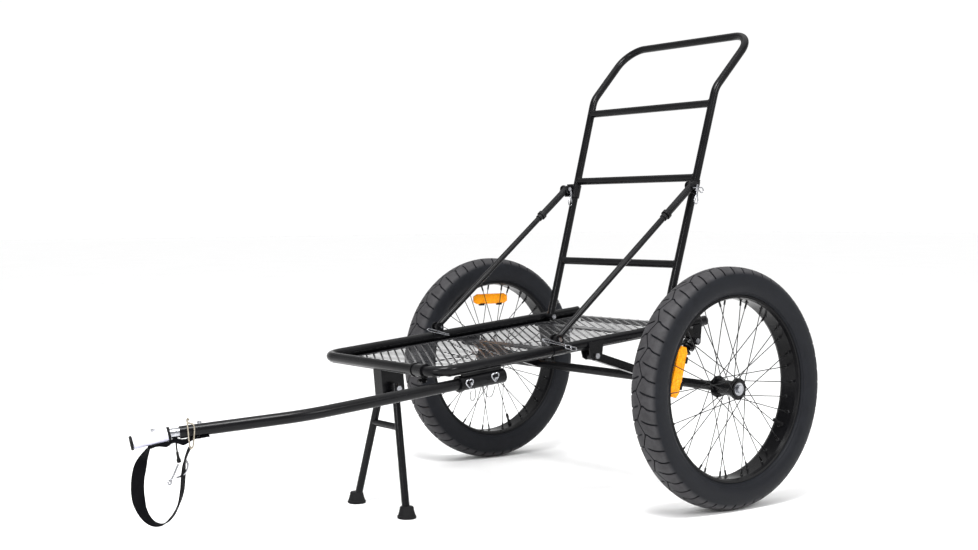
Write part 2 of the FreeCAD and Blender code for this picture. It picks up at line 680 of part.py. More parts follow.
def make_bed_tube():
    front = -bed_front_along
    rear = bed_rear_along - float(dim.cap_length) / 2
    half = float(dim.bed_half_width)
    corners = [(rear, -half), (front, -half), (front, half), (rear, half)]
    tube = pipe_body("bed_tube_bent", corners, dim.bed_corner_radius, rail_radius,
                     rail_radius - dim.rail_wall, BED_PLACE)
    holes = [cylinder(f"bed_tube_hole_{name}", dim.bolt_radius + dim.running_gap, 40,
                      at(float(dim.handle_pivot_x), sign * half, handle_pivot_z), Y_AXIS, True)
             for name, sign in SIDES.items()]
    return cut("bed_tube_drilled", tube, *holes)


def make_end_caps():
    caps = []
    for side_name, sign in SIDES.items():
        name = f"rail_cap_{side_name}"
        lane = sign * float(dim.bed_half_width)
        start = bed_rear_along - float(dim.cap_length) / 2
        rail_end = on_bed(start, lane, 0)
        crown = rod(name + "_crown", rail_end, on_bed(bed_rear_along, lane, 0), rail_radius + 0.3)
        plug = rod(name + "_plug", on_bed(start - float(dim.cap_plug_length), lane, 0), rail_end,
                   rail_radius - dim.rail_wall)
        caps.append(fuse(name, crown, plug))
    return group("rail_cap_pair", *caps)


def make_deck():
    """The deck sheet, notched round the front clamp, with the lip that turns down at its rear edge.

    Its middle panel, which the load lies on, keeps a top face of its own, clear of the rails and fittings.
    """
    front, rear, half = -bed_front_along, bed_rear_along - 3, float(dim.bed_half_width)
    corner = float(dim.bed_corner_radius) * 0.55
    outline = [(rear, -half), (rear, half), (front + corner, half), (front, half - corner),
               (front, corner - half), (front + corner, -half)]
    deck_place = Placement(on_bed(0, 0, -float(dim.deck_drop)), BED_TURN)
    plate = padded_body("deck_plate", outline, dim.deck_thick, deck_place)
    panel_half = dim.panel_half_width
    panel_outline = [(-dim.panel_front, -panel_half), (dim.panel_rear, -panel_half),
                     (dim.panel_rear, panel_half), (-dim.panel_front, panel_half)]
    panel = padded_body("deck_panel", panel_outline, dim.deck_thick, deck_place)
    lip_half = half - float(cheek_gap) - float(dim.cheek_thick) - 1
    lip_up = -float(dim.deck_drop) - float(dim.deck_lip) / 2
    lip = box("deck_lip_strip", dim.deck_thick, lip_half * 2, dim.deck_lip, on_bed(rear - 1, 0, lip_up),
              BED_TURN)
    notch_margin = 7
    notch_width = dim.clamp_end - dim.clamp_start + notch_margin * 2
    notch_y = -float(dim.clamp_start + dim.clamp_end) / 2
    notch = box("deck_clamp_notch", 36, notch_width, 10, on_bed(front, notch_y, -float(dim.deck_drop)),
                BED_TURN)
    joined = fuse("deck_with_lip", plate, panel, lip)
    joined.Refine = False
    deck = cut("deck_notched", joined, notch)
    deck.Refine = False
    return deck


def make_crossbars():
    bars = []
    for tag, x in (("front", -275), ("rear", -15)):
        place = on_bed(x, 0, deck_bottom - float(dim.crossbar_thick) / 2)
        width = float(dim.bed_half_width) * 2 - 40
        bars.append(box(f"crossbar_{tag}", dim.crossbar_width, width, dim.crossbar_thick, place, BED_TURN))
    return group("crossbar_pair", *bars)


def cheek(name, outline, lane_y, hole_at):
    """An upright plate across Y, its outline given as (x, z) from the axle, with one bolt hole."""
    placement = Placement(at(0, lane_y, 0), Rotation(Vector(1, 0, 0), 90))
    return padded_body(name, outline, dim.cheek_thick, placement, [(hole_at, dim.bolt_radius)])


def make_cheek_pairs(name, pivot, front_reach, rear_reach, toe, outer_rise):
    """Under each rail, an outer cheek that laps the rail's side and an inner one that stops at the deck.

    The reaches are from the bolt along the rail, and toe is the two lower front corners from the bolt.
    """
    plates = []
    x, z = pivot
    for side_name, sign in SIDES.items():
        lane = sign * float(dim.bed_half_width)
        offset = float(cheek_gap) + float(dim.cheek_thick) / 2
        for tag, y, top in (
            ("outer", lane + sign * offset, outer_rise),
            ("inner", lane - sign * offset, deck_bottom / math.cos(tilt)),
        ):
            left, right = x - front_reach, x + rear_reach
            outline = [(left, rail_height(left) + top), *[(x + across, z + up) for across, up in toe],
                       (x + 8, z - 10), (x + rear_reach * 0.75, z - 5), (right, rail_height(right) + top)]
            plates.append(cheek(f"{name}_{side_name}_{tag}", outline, y, pivot))
    return group(name, *plates)


handle_pivot_z = rail_height(float(dim.handle_pivot_x))
arm_bracket_pivot = (float(dim.arm_pivot_x), float(dim.arm_pivot_z))
node(make_bed_tube(), "bed_frame_tube")
node(make_end_caps(), "rail_end_caps")
node(make_deck(), "bed_deck")
node(make_crossbars(), "deck_crossbars")
arm_toe = [(-16.5, -5), (-8, -10)]
shock_toe = [(-8, -2), (-4, -9)]
node(make_cheek_pairs("arm_cheeks", arm_bracket_pivot, 22, 22, arm_toe, 4), "arm_brackets")
node(make_cheek_pairs("shock_cheeks", shock_top, 8, 18, shock_toe, -4), "shock_brackets")


def through_bolt(name, x, z, y_start, y_end):
    return bolt(name, at(x, y_start, z), at(x, y_end, z), dim.bolt_radius, dim.bolt_head_radius,
                dim.bolt_head_length)


frame_bolts = []
cheek_reach = float(cheek_gap) + float(dim.cheek_thick)
for side_name, sign in SIDES.items():
    lane = float(dim.bed_half_width)
    for tag, (x, z) in (("arm", arm_bracket_pivot), ("shock", shock_top)):
        frame_bolts.append(through_bolt(f"{tag}_bolt_{side_name}", x, z, sign * (lane + cheek_reach),
                                        sign * (lane - cheek_reach)))
    inner_end = float(dim.handle_half_width - handle_radius) - 0.5
    frame_bolts.append(through_bolt(f"handle_bolt_{side_name}", float(dim.handle_pivot_x), handle_pivot_z,
                                    sign * (lane + float(rail_radius)), sign * inner_end))
kick_bolt_half = float(dim.leg_top_half_width + dim.leg_od / 2) + 3.5
frame_bolts.append(through_bolt("kick_bolt", float(dim.kick_pivot_x), float(dim.kick_pivot_z),
                                -kick_bolt_half, kick_bolt_half))
node(group("frame_bolt_set", *frame_bolts), "frame_bolts")


def make_front_clamp():
    """A two-band tube clamp on the bed's front tube, with the lug and screw that close it."""
    along, start, end = -bed_front_along, -float(dim.clamp_start), -float(dim.clamp_end)
    inner = rail_radius
    pieces = [rod("clamp_sleeve", on_bed(along, start, 0), on_bed(along, end, 0), rail_radius + 2.2)]
    for tag, y in (("a", start), ("b", end)):
        middle = on_bed(along, y, 0)
        pieces.append(cylinder(f"clamp_band_{tag}", rail_radius + 4, 7, middle, Y_AXIS, True))
    lug_y = (start + end) / 2 - 6
    lug_up = -float(rail_radius) - 8
    pieces.append(box("clamp_lug", 10, 14, 14, on_bed(along, lug_y, lug_up), BED_TURN))
    pieces.append(cylinder("clamp_screw", 3.2, 22, on_bed(along, lug_y, lug_up - 2), Vector(1, 0, 0), True))
    bore = rod("clamp_bore", on_bed(along, start + 10, 0), on_bed(along, end - 10, 0), inner)
    return cut("clamp_body", fuse("clamp_solid", *pieces), bore)


node(make_front_clamp(), "front_clamp")

# ---------------------------------------------------------------- kickstand
kick_pivot = (float(dim.kick_pivot_x), float(dim.kick_pivot_z))


def make_kick_bracket():
    """A channel under the bed's front, open below and behind, with the kickstand's bolt through it."""
    top = deck_bottom
    height = 66
    middle_x = kick_pivot[0] / math.cos(tilt) - 2
    outer = box("kick_box_outer", dim.kick_box_length, dim.kick_box_width, height,
                on_bed(middle_x, 0, top - height / 2), BED_TURN)
    wall = float(dim.kick_box_wall)
    inner_width = dim.kick_box_width - dim.kick_box_wall * 2
    inner = box("kick_box_inner", dim.kick_box_length, inner_width, height,
                on_bed(middle_x + wall, 0, top - height / 2 - wall), BED_TURN)
    hole = cylinder("kick_box_hole", dim.bolt_radius, 80, at(kick_pivot[0], 0, kick_pivot[1]), Y_AXIS, True)
    return cut("kick_box_body", outer, inner, hole)


def leg_point(sign, height):
    """A point on a kickstand leg's axis at a height above the ground."""
    share = (kick_pivot[1] - height) / kick_pivot[1]
    x = kick_pivot[0] + (float(dim.foot_x) - kick_pivot[0]) * share
    y = float(dim.leg_top_half_width) + float(dim.foot_half_width - dim.leg_top_half_width) * share
    return at(x, sign * y, height)


def make_kick_legs():
    """Two legs joined by a welded cross tube, as one folding A-frame."""
    outers, bores, holes = [], [], []
    for side_name, sign in SIDES.items():
        top, bottom = leg_point(sign, kick_pivot[1] + 9), leg_point(sign, 6)
        outers.append(rod(f"leg_{side_name}_outer", top, bottom, dim.leg_od / 2))
        bores.append(rod(f"leg_{side_name}_bore", top, bottom, dim.leg_od / 2 - dim.leg_wall))
        holes.append(cylinder(f"leg_{side_name}_hole", dim.bolt_radius + dim.running_gap, 30,
                              leg_point(sign, kick_pivot[1]), Y_AXIS, True))
    bar_height = float(dim.kick_bar_z)
    bar = rod("leg_cross_tube", leg_point(-1, bar_height), leg_point(1, bar_height), dim.leg_od / 2 - 1)
    return cut("kick_frame", fuse("kick_frame_solid", bar, *outers), *bores, *holes)


def make_kick_feet():
    feet = []
    for side_name, sign in SIDES.items():
        base = leg_point(sign, 0)
        pad = cone(f"foot_{side_name}_pad", dim.foot_radius, dim.foot_top_radius, dim.foot_height, base,
                   Z_AXIS)
        socket = rod(f"foot_{side_name}_socket", leg_point(sign, 6), leg_point(sign, 60), dim.leg_od / 2)
        feet.append(cut(f"foot_{side_name}", pad, socket))
    return group("kick_foot_pair", *feet)


node(make_kick_bracket(), "kickstand_bracket")
node(make_kick_legs(), "kickstand_legs")
node(make_kick_feet(), "kickstand_feet")

# ---------------------------------------------------------------- push handle
handle_reach = Vector(float(dim.handle_bend_x - dim.handle_pivot_x), 0,
                      float(dim.handle_bend_z) - handle_pivot_z)
slant_reach = math.hypot(float(dim.handle_top_x - dim.handle_bend_x),
                         float(dim.handle_top_z - dim.handle_bend_z))
flare = float(dim.handle_top_half_width - dim.handle_half_width) / (handle_reach.Length + slant_reach)


def upright_point(sign, along):
    """A point on an upright's axis, measured up it from the handle's pivot."""
    share = along / handle_reach.Length
    x = float(dim.handle_pivot_x) + handle_reach.x * share
    y = float(dim.handle_half_width) + flare * along
    return at(x, sign * y, handle_pivot_z + handle_reach.z * share)


def upright_along(height):
    return (height - handle_pivot_z) / handle_reach.z * handle_reach.Length


def make_handle_frame():
    """One bent tube: up one side, across the top and down the other, with a solid eye at each pivot."""
    def corner(sign):
        return at(float(dim.handle_top_x), sign * float(dim.handle_top_half_width), float(dim.handle_top_z))

    points = [upright_point(-1, 0), upright_point(-1, handle_reach.Length), corner(-1), corner(1),
              upright_point(1, handle_reach.Length), upright_point(1, 0)]
    radii = [float(dim.handle_bend_radius)] * 4
    tube = bent_tube("handle_tube", points, radii, handle_radius, handle_radius - dim.handle_wall)
    eyes, holes = [], []
    for side_name, sign in SIDES.items():
        eyes.append(cylinder(f"handle_eye_{side_name}", handle_radius + 0.8, dim.handle_od,
                             upright_point(sign, 0), Y_AXIS, True))
        holes.append(cylinder(f"handle_hole_{side_name}", dim.bolt_radius + dim.running_gap, 40,
                              upright_point(sign, 0), Y_AXIS, True))
    return cut("handle_drilled", fuse("handle_solid", tube, *eyes), *holes)


def make_rungs():
    rungs = []
    for tag, height in (("low", dim.rung_low_z), ("middle", dim.rung_middle_z), ("high", dim.rung_high_z)):
        along = upright_along(float(height))
        tube = hollow(f"rung_{tag}", upright_point(-1, along), upright_point(1, along), handle_radius - 0.3,
                      handle_radius - 0.3 - dim.handle_wall)
        seats = [rod(f"rung_{tag}_seat_{name}", upright_point(sign, along - 40),
                     upright_point(sign, along + 40), handle_radius) for name, sign in SIDES.items()]
        rungs.append(cut(f"rung_{tag}_cut", tube, *seats))
    return group("rung_set", *rungs)


node(make_handle_frame(), "handle_frame")
node(make_rungs(), "handle_rungs")

# ---------------------------------------------------------------- braces
brace_head = (float(dim.brace_head_x), float(dim.brace_head_z))
brace_foot = (float(dim.brace_foot_x), float(dim.brace_foot_z))
brace_length = math.hypot(brace_head[0] - brace_foot[0], brace_head[1] - brace_foot[1])
brace_unit = Vector(brace_foot[0] - brace_head[0], 0, brace_foot[1] - brace_head[1]).normalize()
sleeve_bore = dim.brace_rod_radius + 0.05


def brace_point(lane, along):
    return at(brace_head[0], lane, brace_head[1]) + brace_unit * along


def make_brace_sleeve(side_name, lane):
    """The upper tube, with a closed eye at its head and the clamping collar near its lower end."""
    name = f"brace_sleeve_{side_name}"
    head = brace_point(lane, 0)
    length = float(dim.brace_sleeve_length)
    collar_at = length - 14
    tube = rod(name + "_tube", head, brace_point(lane, length), dim.brace_sleeve_radius)
    eye = cylinder(name + "_eye", dim.brace_sleeve_radius + 0.4, dim.brace_sleeve_radius * 1.8, head, Y_AXIS,
                   True)
    collar = rod(name + "_collar", brace_point(lane, collar_at - float(dim.brace_collar_length) / 2),
                 brace_point(lane, collar_at + float(dim.brace_collar_length) / 2), dim.brace_collar_radius)
    bore = rod(name + "_bore", brace_point(lane, 14), brace_point(lane, length), sleeve_bore)
    hole = cylinder(name + "_hole", dim.brace_pin_radius + dim.running_gap, 40, head, Y_AXIS, True)
    return cut(name + "_body", fuse(name + "_solid", tube, eye, collar), bore, hole)


def make_brace_rod(side_name, lane):
    """The lower tube. Its end is a hook that drops over the clevis pin, open to the rear and below."""
    name = f"brace_rod_{side_name}"
    foot = brace_point(lane, brace_length)
    radius = dim.brace_rod_radius
    outer = rod(name + "_outer", brace_point(lane, 16), foot, radius)
    eye = cylinder(name + "_eye", radius + 0.3, radius * 1.8, foot, Y_AXIS, True)
    bore = rod(name + "_bore", brace_point(lane, 16), brace_point(lane, brace_length - 18), radius - 1.5)
    mouth_unit = Vector(0.916, 0, -0.4)
    mouth_length = 12
    slot_height = float(dim.brace_pin_radius) * 2 + 0.8
    slot = box(name + "_slot", mouth_length, 30, slot_height, foot + mouth_unit * (mouth_length / 2),
               Rotation(Vector(1, 0, 0), mouth_unit))
    hole = cylinder(name + "_hole", slot_height / 2, 30, foot, Y_AXIS, True)
    return cut(name + "_body", fuse(name + "_solid", outer, eye), bore, slot, hole)


saddle_along = (Vector(brace_head[0] - float(dim.handle_pivot_x), 0, brace_head[1] - handle_pivot_z)
                * handle_reach) / handle_reach.Length
ear_offset = float(dim.brace_sleeve_radius) + 0.5 + float(dim.cheek_thick) / 2
brace_lane = float(dim.brace_half_width)


def make_saddles():
    """Round each upright, a collar with two ears in front that hold the head of the brace."""
    saddles = []
    length = 34
    lean = Rotation(Y_AXIS, math.degrees(math.atan2(handle_reach.x, handle_reach.z)))
    for side_name, sign in SIDES.items():
        name = f"saddle_{side_name}"
        lane = sign * brace_lane
        low, high = (upright_point(sign, saddle_along + shift) for shift in (-length / 2, length / 2))
        collar = rod(name + "_collar", low, high, handle_radius + 2.6)
        bore = rod(name + "_bore", upright_point(sign, saddle_along - 40),
                   upright_point(sign, saddle_along + 40), handle_radius)
        pin_spot = at(brace_head[0], lane, brace_head[1])
        backwards = lean.multVec(Vector(1, 0, 0))
        to_upright = (upright_point(sign, saddle_along) - pin_spot).dot(backwards)
        ears = []
        for tag, side in (("inner", -1), ("outer", 1)):
            root = pin_spot + Vector(0, sign * side * ear_offset, 0)
            back = to_upright if tag == "inner" else to_upright - float(handle_radius)
            ears.append(box(f"{name}_{tag}_ear", back, dim.cheek_thick, 22, root + backwards * (back / 2),
                            lean))
            ears.append(cylinder(f"{name}_{tag}_tip", 11, dim.cheek_thick, root, Y_AXIS, True))
        bridge_width = ear_offset * 2 + float(dim.cheek_thick)
        bridge_at = to_upright - float(handle_radius) - 1.3
        bridge = box(name + "_bridge", 2.6, bridge_width, length, pin_spot + backwards * bridge_at, lean)
        hole = cylinder(name + "_hole", dim.brace_pin_radius, 60, pin_spot, Y_AXIS, True)
        saddles.append(cut(name, fuse(name + "_solid", collar, bridge, *ears), bore, hole))
    return group("saddle_pair", *saddles)


def wire_clip(name, root, along, side, scale=1.0):
    """A sprung R-shaped clip of round wire: a straight leg, a round back and a waved leg."""
    def spot(a, b):
        return root + along * (a * scale) + side * (b * scale)

    points = [spot(-12, 0), spot(22, 0), spot(32, 9), spot(20, 16), spot(8, 6), spot(-6, 8)]
    clip = doc.addObject("Part::Feature", name)
    clip.Shape = swept(points, [5 * scale, 6 * scale, 6 * scale, 6 * scale], dim.clip_wire_radius)
    return clip


def lock_pin(name, start, end, radius, head_radius):
    """A plain pin with a domed head outside its start."""
    unit = Vector(end - start).normalize()
    shank = rod(name + "_shank", start, end + unit * 7, radius)
    head = rod(name + "_head", start - unit * 3, start, head_radius)
    return fuse(name, shank, head)


def make_saddle_pins():
    pieces = []
    for side_name, sign in SIDES.items():
        outer_y = sign * (brace_lane + ear_offset + float(dim.cheek_thick) / 2)
        inner_y = sign * (brace_lane - ear_offset - float(dim.cheek_thick) / 2)
        start = at(brace_head[0], inner_y, brace_head[1])
        end = at(brace_head[0], outer_y, brace_head[1])
        pieces.append(lock_pin(f"saddle_pin_{side_name}", start, end, dim.brace_pin_radius, 5))
        clip_root = end + Vector(0, sign * 3.5, -4.6)
        pieces.append(wire_clip(f"saddle_clip_{side_name}", clip_root, Vector(1, 0, 0), Z_AXIS * -1, 0.8))
    return group("saddle_pin_set", *pieces)


def make_clevises():
    """Clamped round each rail, two ears that hold the pin for a brace's foot."""
    clevises = []
    gap = float(dim.brace_rod_radius) + 0.6
    thick = float(dim.cheek_thick)
    foot_along = brace_foot[0] / math.cos(tilt)
    for side_name, sign in SIDES.items():
        name = f"clevis_{side_name}"
        rail_lane = sign * float(dim.bed_half_width)
        low, high = on_bed(foot_along - 17, rail_lane, 0), on_bed(foot_along + 17, rail_lane, 0)
        band = rod(name + "_band", low, high, rail_radius + 1.6)
        pin_spot = at(brace_foot[0], sign * brace_lane, brace_foot[1])
        drop = brace_foot[1] - rail_height(brace_foot[0])
        ears = []
        for tag, side in (("inner", -1), ("outer", 1)):
            shift = Vector(0, sign * side * (gap + thick / 2), 0)
            ears.append(box(f"{name}_{tag}_ear", 22, thick, drop, pin_spot + shift - Z_AXIS * (drop / 2)))
            ears.append(cylinder(f"{name}_{tag}_tip", 11, thick, pin_spot + shift, Y_AXIS, True))
        bore = rod(name + "_bore", on_bed(foot_along - 40, rail_lane, 0),
                   on_bed(foot_along + 40, rail_lane, 0), rail_radius)
        hole = cylinder(name + "_hole", dim.brace_pin_radius, 60, pin_spot, Y_AXIS, True)
        deck_space = box(name + "_deck_space", 60, 40, 10,
                         on_bed(foot_along, rail_lane - sign * 19, deck_top + 0.1 - 5), BED_TURN)
        clevises.append(cut(name, fuse(name + "_solid", band, *ears), bore, hole, deck_space))
    return group("clevis_pair", *clevises)


for side_name, sign in SIDES.items():
    node(make_brace_sleeve(side_name, sign * brace_lane), f"brace_sleeve_{side_name}")
    node(make_brace_rod(side_name, sign * brace_lane), f"brace_rod_{side_name}")
node(make_saddles(), "brace_saddles")
node(make_saddle_pins(), "saddle_pins")
node(make_clevises(), "brace_clevises")

# ---------------------------------------------------------------- tow bar and receiver
bar_lane = -float(dim.bar_half_width)
bar_up = -float(dim.bar_drop)
receiver_pin_xs = (-568, -505)


def receiver_pin_ends(x):
    reach = float(dim.receiver_od) / 2
    along = x / math.cos(tilt)
    return on_bed(along, bar_lane + reach, bar_up), on_bed(along, bar_lane - reach, bar_up)


def make_tow_bar():
    rear = float(dim.bar_rear_x) / math.cos(tilt)
    points = [(rear, bar_lane), (bar_bend_along, bar_lane), (bar_front_along, bar_front_y)]
    bar = pipe_body("tow_bar_bent", points, dim.bar_bend_radius, dim.bar_od / 2,
                    dim.bar_od / 2 - dim.bar_wall, Placement(on_bed(0, 0, bar_up), BED_TURN))
    holes = [rod(f"tow_bar_hole_{index}", *receiver_pin_ends(x), dim.pin_radius)
             for index, x in enumerate(receiver_pin_xs)]
    pin_root = bar_tip(-38)
    holes.append(cylinder("tow_bar_end_hole", dim.brace_pin_radius, 60, pin_root, Z_AXIS, True))
    return cut("tow_bar_drilled", bar, *holes)


def bar_tip(along):
    """A point on the tow bar's straight front, measured forward from its end."""
    return on_bed(bar_front_along, bar_front_y, bar_up) + bar_unit * along


def sleeve_point(along):
    """A point on the drooping hitch, measured forward from where it leaves the bar's stub."""
    return bar_tip(float(dim.stub_reach)) + sleeve_unit * along


def make_receiver():
    """The socket welded below the near rail, that the tow bar slides into."""
    front, rear = (float(value) / math.cos(tilt) for value in (dim.receiver_front_x, dim.receiver_rear_x))
    outer = rod("receiver_outer", on_bed(front, bar_lane, bar_up), on_bed(rear, bar_lane, bar_up),
                dim.receiver_od / 2)
    web_height = float(dim.bar_drop)
    web = box("receiver_web", rear - front - 12, 6, web_height,
              on_bed((front + rear) / 2, bar_lane - 2, bar_up / 2), BED_TURN)
    lip = rod("receiver_lip", on_bed(front - 4, bar_lane, bar_up), on_bed(front + 4, bar_lane, bar_up),
              dim.receiver_od / 2 + 1.8)
    bore = rod("receiver_bore", on_bed(front - 10, bar_lane, bar_up), on_bed(rear + 10, bar_lane, bar_up),
               dim.receiver_od / 2 - dim.receiver_wall)
    rail_lane = -float(dim.bed_half_width)
    rail = rod("receiver_rail_seat", on_bed(front - 40, rail_lane, 0), on_bed(rear + 40, rail_lane, 0),
               rail_radius)
    deck_space = box("receiver_deck_space", 200, 40, 20,
                     on_bed((front + rear) / 2, bar_lane + 12, deck_bottom + 10), BED_TURN)
    holes = [rod(f"receiver_hole_{index}", *receiver_pin_ends(x), dim.pin_radius)
             for index, x in enumerate(receiver_pin_xs)]
    return cut("receiver_body", fuse("receiver_solid", outer, web, lip), bore, rail, deck_space, *holes)


def make_lock_pins():
    """The pins that hold the tow bar in its receiver and the brace feet in their clevises."""
    pins = []
    for index, x in enumerate(receiver_pin_xs):
        pins.append(lock_pin(f"receiver_pin_{index}", *receiver_pin_ends(x), dim.pin_radius, 5.5))
    reach = float(dim.brace_rod_radius) + 0.6 + float(dim.cheek_thick)
    for side_name, sign in SIDES.items():
        inner, outer = (at(brace_foot[0], sign * (brace_lane + step), brace_foot[1])
                        for step in (-reach, reach))
        pins.append(lock_pin(f"clevis_pin_{side_name}", outer, inner, dim.brace_pin_radius, 5))
    return group("lock_pin_set", *pins)


def make_lock_clips():
    """The wire clips through the ends of those pins, and the one that hangs at the hitch."""
    clips = []
    for index, x in enumerate(receiver_pin_xs):
        root = receiver_pin_ends(x)[1] + Vector(-5, -4, 2)
        clips.append(wire_clip(f"receiver_clip_{index}", root, Z_AXIS * -1, Vector(1, 0, 0), 0.62))
    reach = float(dim.brace_rod_radius) + 0.6 + float(dim.cheek_thick)
    for side_name, sign in SIDES.items():
        root = at(brace_foot[0], sign * (brace_lane - reach - 4), brace_foot[1] + 4.5)
        clips.append(wire_clip(f"clevis_clip_{side_name}", root, Vector(-1, 0, 0), Z_AXIS, 1.1))
    hang = hitch_clip_root
    clips.append(wire_clip("hitch_clip", hang, Vector(-0.62, 0.2, -0.76).normalize(),
                           Vector(-0.72, 0.23, 0.65).normalize(), 1.1))
    return group("lock_clip_set", *clips)


def make_hitch_stub():
    """The bright inner tube: straight in the bar's end, then drooping through the sleeve."""
    radius = dim.stub_od / 2
    straight = rod("stub_straight", bar_tip(-60), bar_tip(float(dim.stub_reach)), radius)
    bend = doc.addObject("Part::Sphere", "stub_bend")
    bind(bend, "Radius", radius)
    bend.Placement = Placement(sleeve_point(0), Rotation())
    drooping = rod("stub_drooping", sleeve_point(0), sleeve_point(sleeve_end - 2), radius)
    holes = [cylinder(f"stub_hole_{tag}", dim.brace_pin_radius, 60, spot, Z_AXIS, True)
             for tag, spot in (("bar", bar_tip(-38)), ("sleeve", sleeve_point(sleeve_pin_at)))]
    bore = rod("stub_bore", bar_tip(-60), bar_tip(float(dim.stub_reach) - 4), radius - 2)
    return cut("stub_body", fuse("stub_solid", straight, bend, drooping), bore, *holes)


def ring_on_stub(name, start, length, radius, bore):
    return hollow(name, sleeve_point(start), sleeve_point(start + length), radius, bore)


def make_hitch_sleeve():
    tube = ring_on_stub("hitch_tube", sleeve_start, float(dim.sleeve_length), dim.sleeve_od / 2,
                        dim.stub_od / 2)
    hole = cylinder("hitch_tube_hole", dim.brace_pin_radius, 60, sleeve_point(sleeve_pin_at), Z_AXIS, True)
    return cut("hitch_tube_drilled", tube, hole)


def make_hitch_rings():
    back = ring_on_stub("hitch_ring_back", 0.5, float(dim.ring_length), dim.ring_od / 2, dim.stub_od / 2)
    front = rod("hitch_ring_front", sleeve_point(sleeve_end + sleeve_gap), sleeve_point(hitch_end),
                dim.ring_od / 2)
    return group("hitch_ring_pair", back, front)


def make_hitch_pins():
    pins = []
    for name, spot, reach in (("hitch_pin_bar", bar_tip(-38), float(dim.bar_od) / 2),
                              ("hitch_pin_sleeve", sleeve_point(sleeve_pin_at), float(dim.sleeve_od) / 2)):
        shank = cylinder(name + "_shank", dim.brace_pin_radius, reach * 2 + 10, spot, Z_AXIS, True)
        caps = [cylinder(f"{name}_cap_{tag}", 4.6, 3, spot + Z_AXIS * way * (reach + 2.8), Z_AXIS, True)
                for tag, way in (("top", 1), ("bottom", -1))]
        pins.append(fuse(name, shank, *caps))
    return group("hitch_pin_pair", *pins)


def make_snap_hook():
    """A closed oval of wire that hangs round the tow bar behind the hitch."""
    middle = bar_tip(-22)
    across = Vector(math.sin(yaw), math.cos(yaw), 0)
    upward = (Z_AXIS - bar_unit * -0.3).normalize()
    half_width, half_height, wire = 15.2, 28, 2.2
    straight = half_height - half_width

    def spot(a, b):
        return middle + across * a + upward * (b - 5)

    edges = [
        Part.LineSegment(spot(half_width, -straight), spot(half_width, straight)).toShape(),
        Part.Arc(spot(half_width, straight), spot(0, half_height), spot(-half_width, straight)).toShape(),
        Part.LineSegment(spot(-half_width, straight), spot(-half_width, -straight)).toShape(),
        Part.Arc(spot(-half_width, -straight), spot(0, -half_height),
                 spot(half_width, -straight)).toShape(),
    ]
    section = Part.Circle(spot(half_width, -straight), upward, wire).toShape()
    hook = doc.addObject("Part::Feature", "snap_hook_wire")
    hook.Shape = Part.Wire(edges).makePipeShell([Part.Wire(section)], True, False)
    return hook


sleeve_pin_at = 34
hitch_clip_root = at(-1192, -144, 172.5)
node(make_tow_bar(), "tow_bar")
node(make_receiver(), "tow_receiver")
node(make_lock_pins(), "lock_pins")
node(make_lock_clips(), "lock_clips")
node(make_hitch_stub(), "hitch_stub")
node(make_hitch_sleeve(), "hitch_sleeve")
node(make_hitch_rings(), "hitch_rings")
node(make_hitch_pins(), "hitch_pins")
node(make_snap_hook(), "snap_hook")

# ---------------------------------------------------------------- strap and lanyards
STRAP_ROUTE = [
    (-1238, -129.5, 215), (-1246, -127, 201.5), (-1254, -124, 183), (-1260.5, -122, 151),
    (-1259.5, -122.5, 116.5), (-1251, -125.5, 88.5), (-1235, -130.5, 68), (-1214.5, -137.5, 63.5),
    (-1198.5, -143, 77.5), (-1186, -147, 101), (-1179.5, -149.5, 130), (-1178, -149.5, 161.5),
    (-1175.5, -150.5, 189), (-1165.5, -154, 211),
]
TETHER_ROUTE = [(-1190.5, -145, 221.5), (-1189.5, -145, 208), (-1187, -146, 195), (-1184.5, -146.5, 182)]
LANYARD_ROUTES = {
    "front": [(-566, -247, 284), (-570, -247.5, 274), (-567, -247, 264), (-559, -245, 262),
              (-551, -242, 269), (-548, -238, 280), (-547, -233, 288)],
    "rear": [(-503, -247, 291), (-507, -247.5, 279), (-512, -247, 268), (-520, -245, 266),
             (-526, -242, 273), (-527, -238, 284), (-526, -234, 292)],
}


def cord_radii(points):
    """Each arc takes 0.45 of the shorter run beside it."""
    radii = []
    for before, point, after in zip(points, points[1:], points[2:]):
        turn = (point - before).getAngle(after - point)
        shorter = min((point - before).Length, (after - point).Length)
        radii.append(0.45 * shorter / math.tan(turn / 2))
    return radii


def make_cord(label, route, radius):
    points = [at(*spot) for spot in route]
    radii = cord_radii(points)
    print(label, "radii", [round(value, 1) for value in radii])
    cord = doc.addObject("Part::Feature", label)
    cord.Shape = swept(points, radii, radius)
    return cord


def make_strap():
    """Flat webbing, its width square to the upright plane that it hangs in."""
    points = [at(*spot) for spot in STRAP_ROUTE]
    radii = cord_radii(points)
    print("tow_strap radii", [round(value, 1) for value in radii])
    path = rounded_path(points, radii)
    run = (points[1] - points[0]).normalize()
    across = Vector(math.sin(yaw), math.cos(yaw), 0).normalize() * (float(dim.strap_width) / 2)
    through = run.cross(across).normalize() * (float(dim.strap_thick) / 2)
    corners = [points[0] + across * a + through * b for a, b in ((1, 1), (-1, 1), (-1, -1), (1, -1))]
    section = Part.makePolygon(corners + corners[:1])
    strap = doc.addObject("Part::Feature", "tow_strap_web")
    strap.Shape = path.makePipeShell([section], True, False)
    return strap


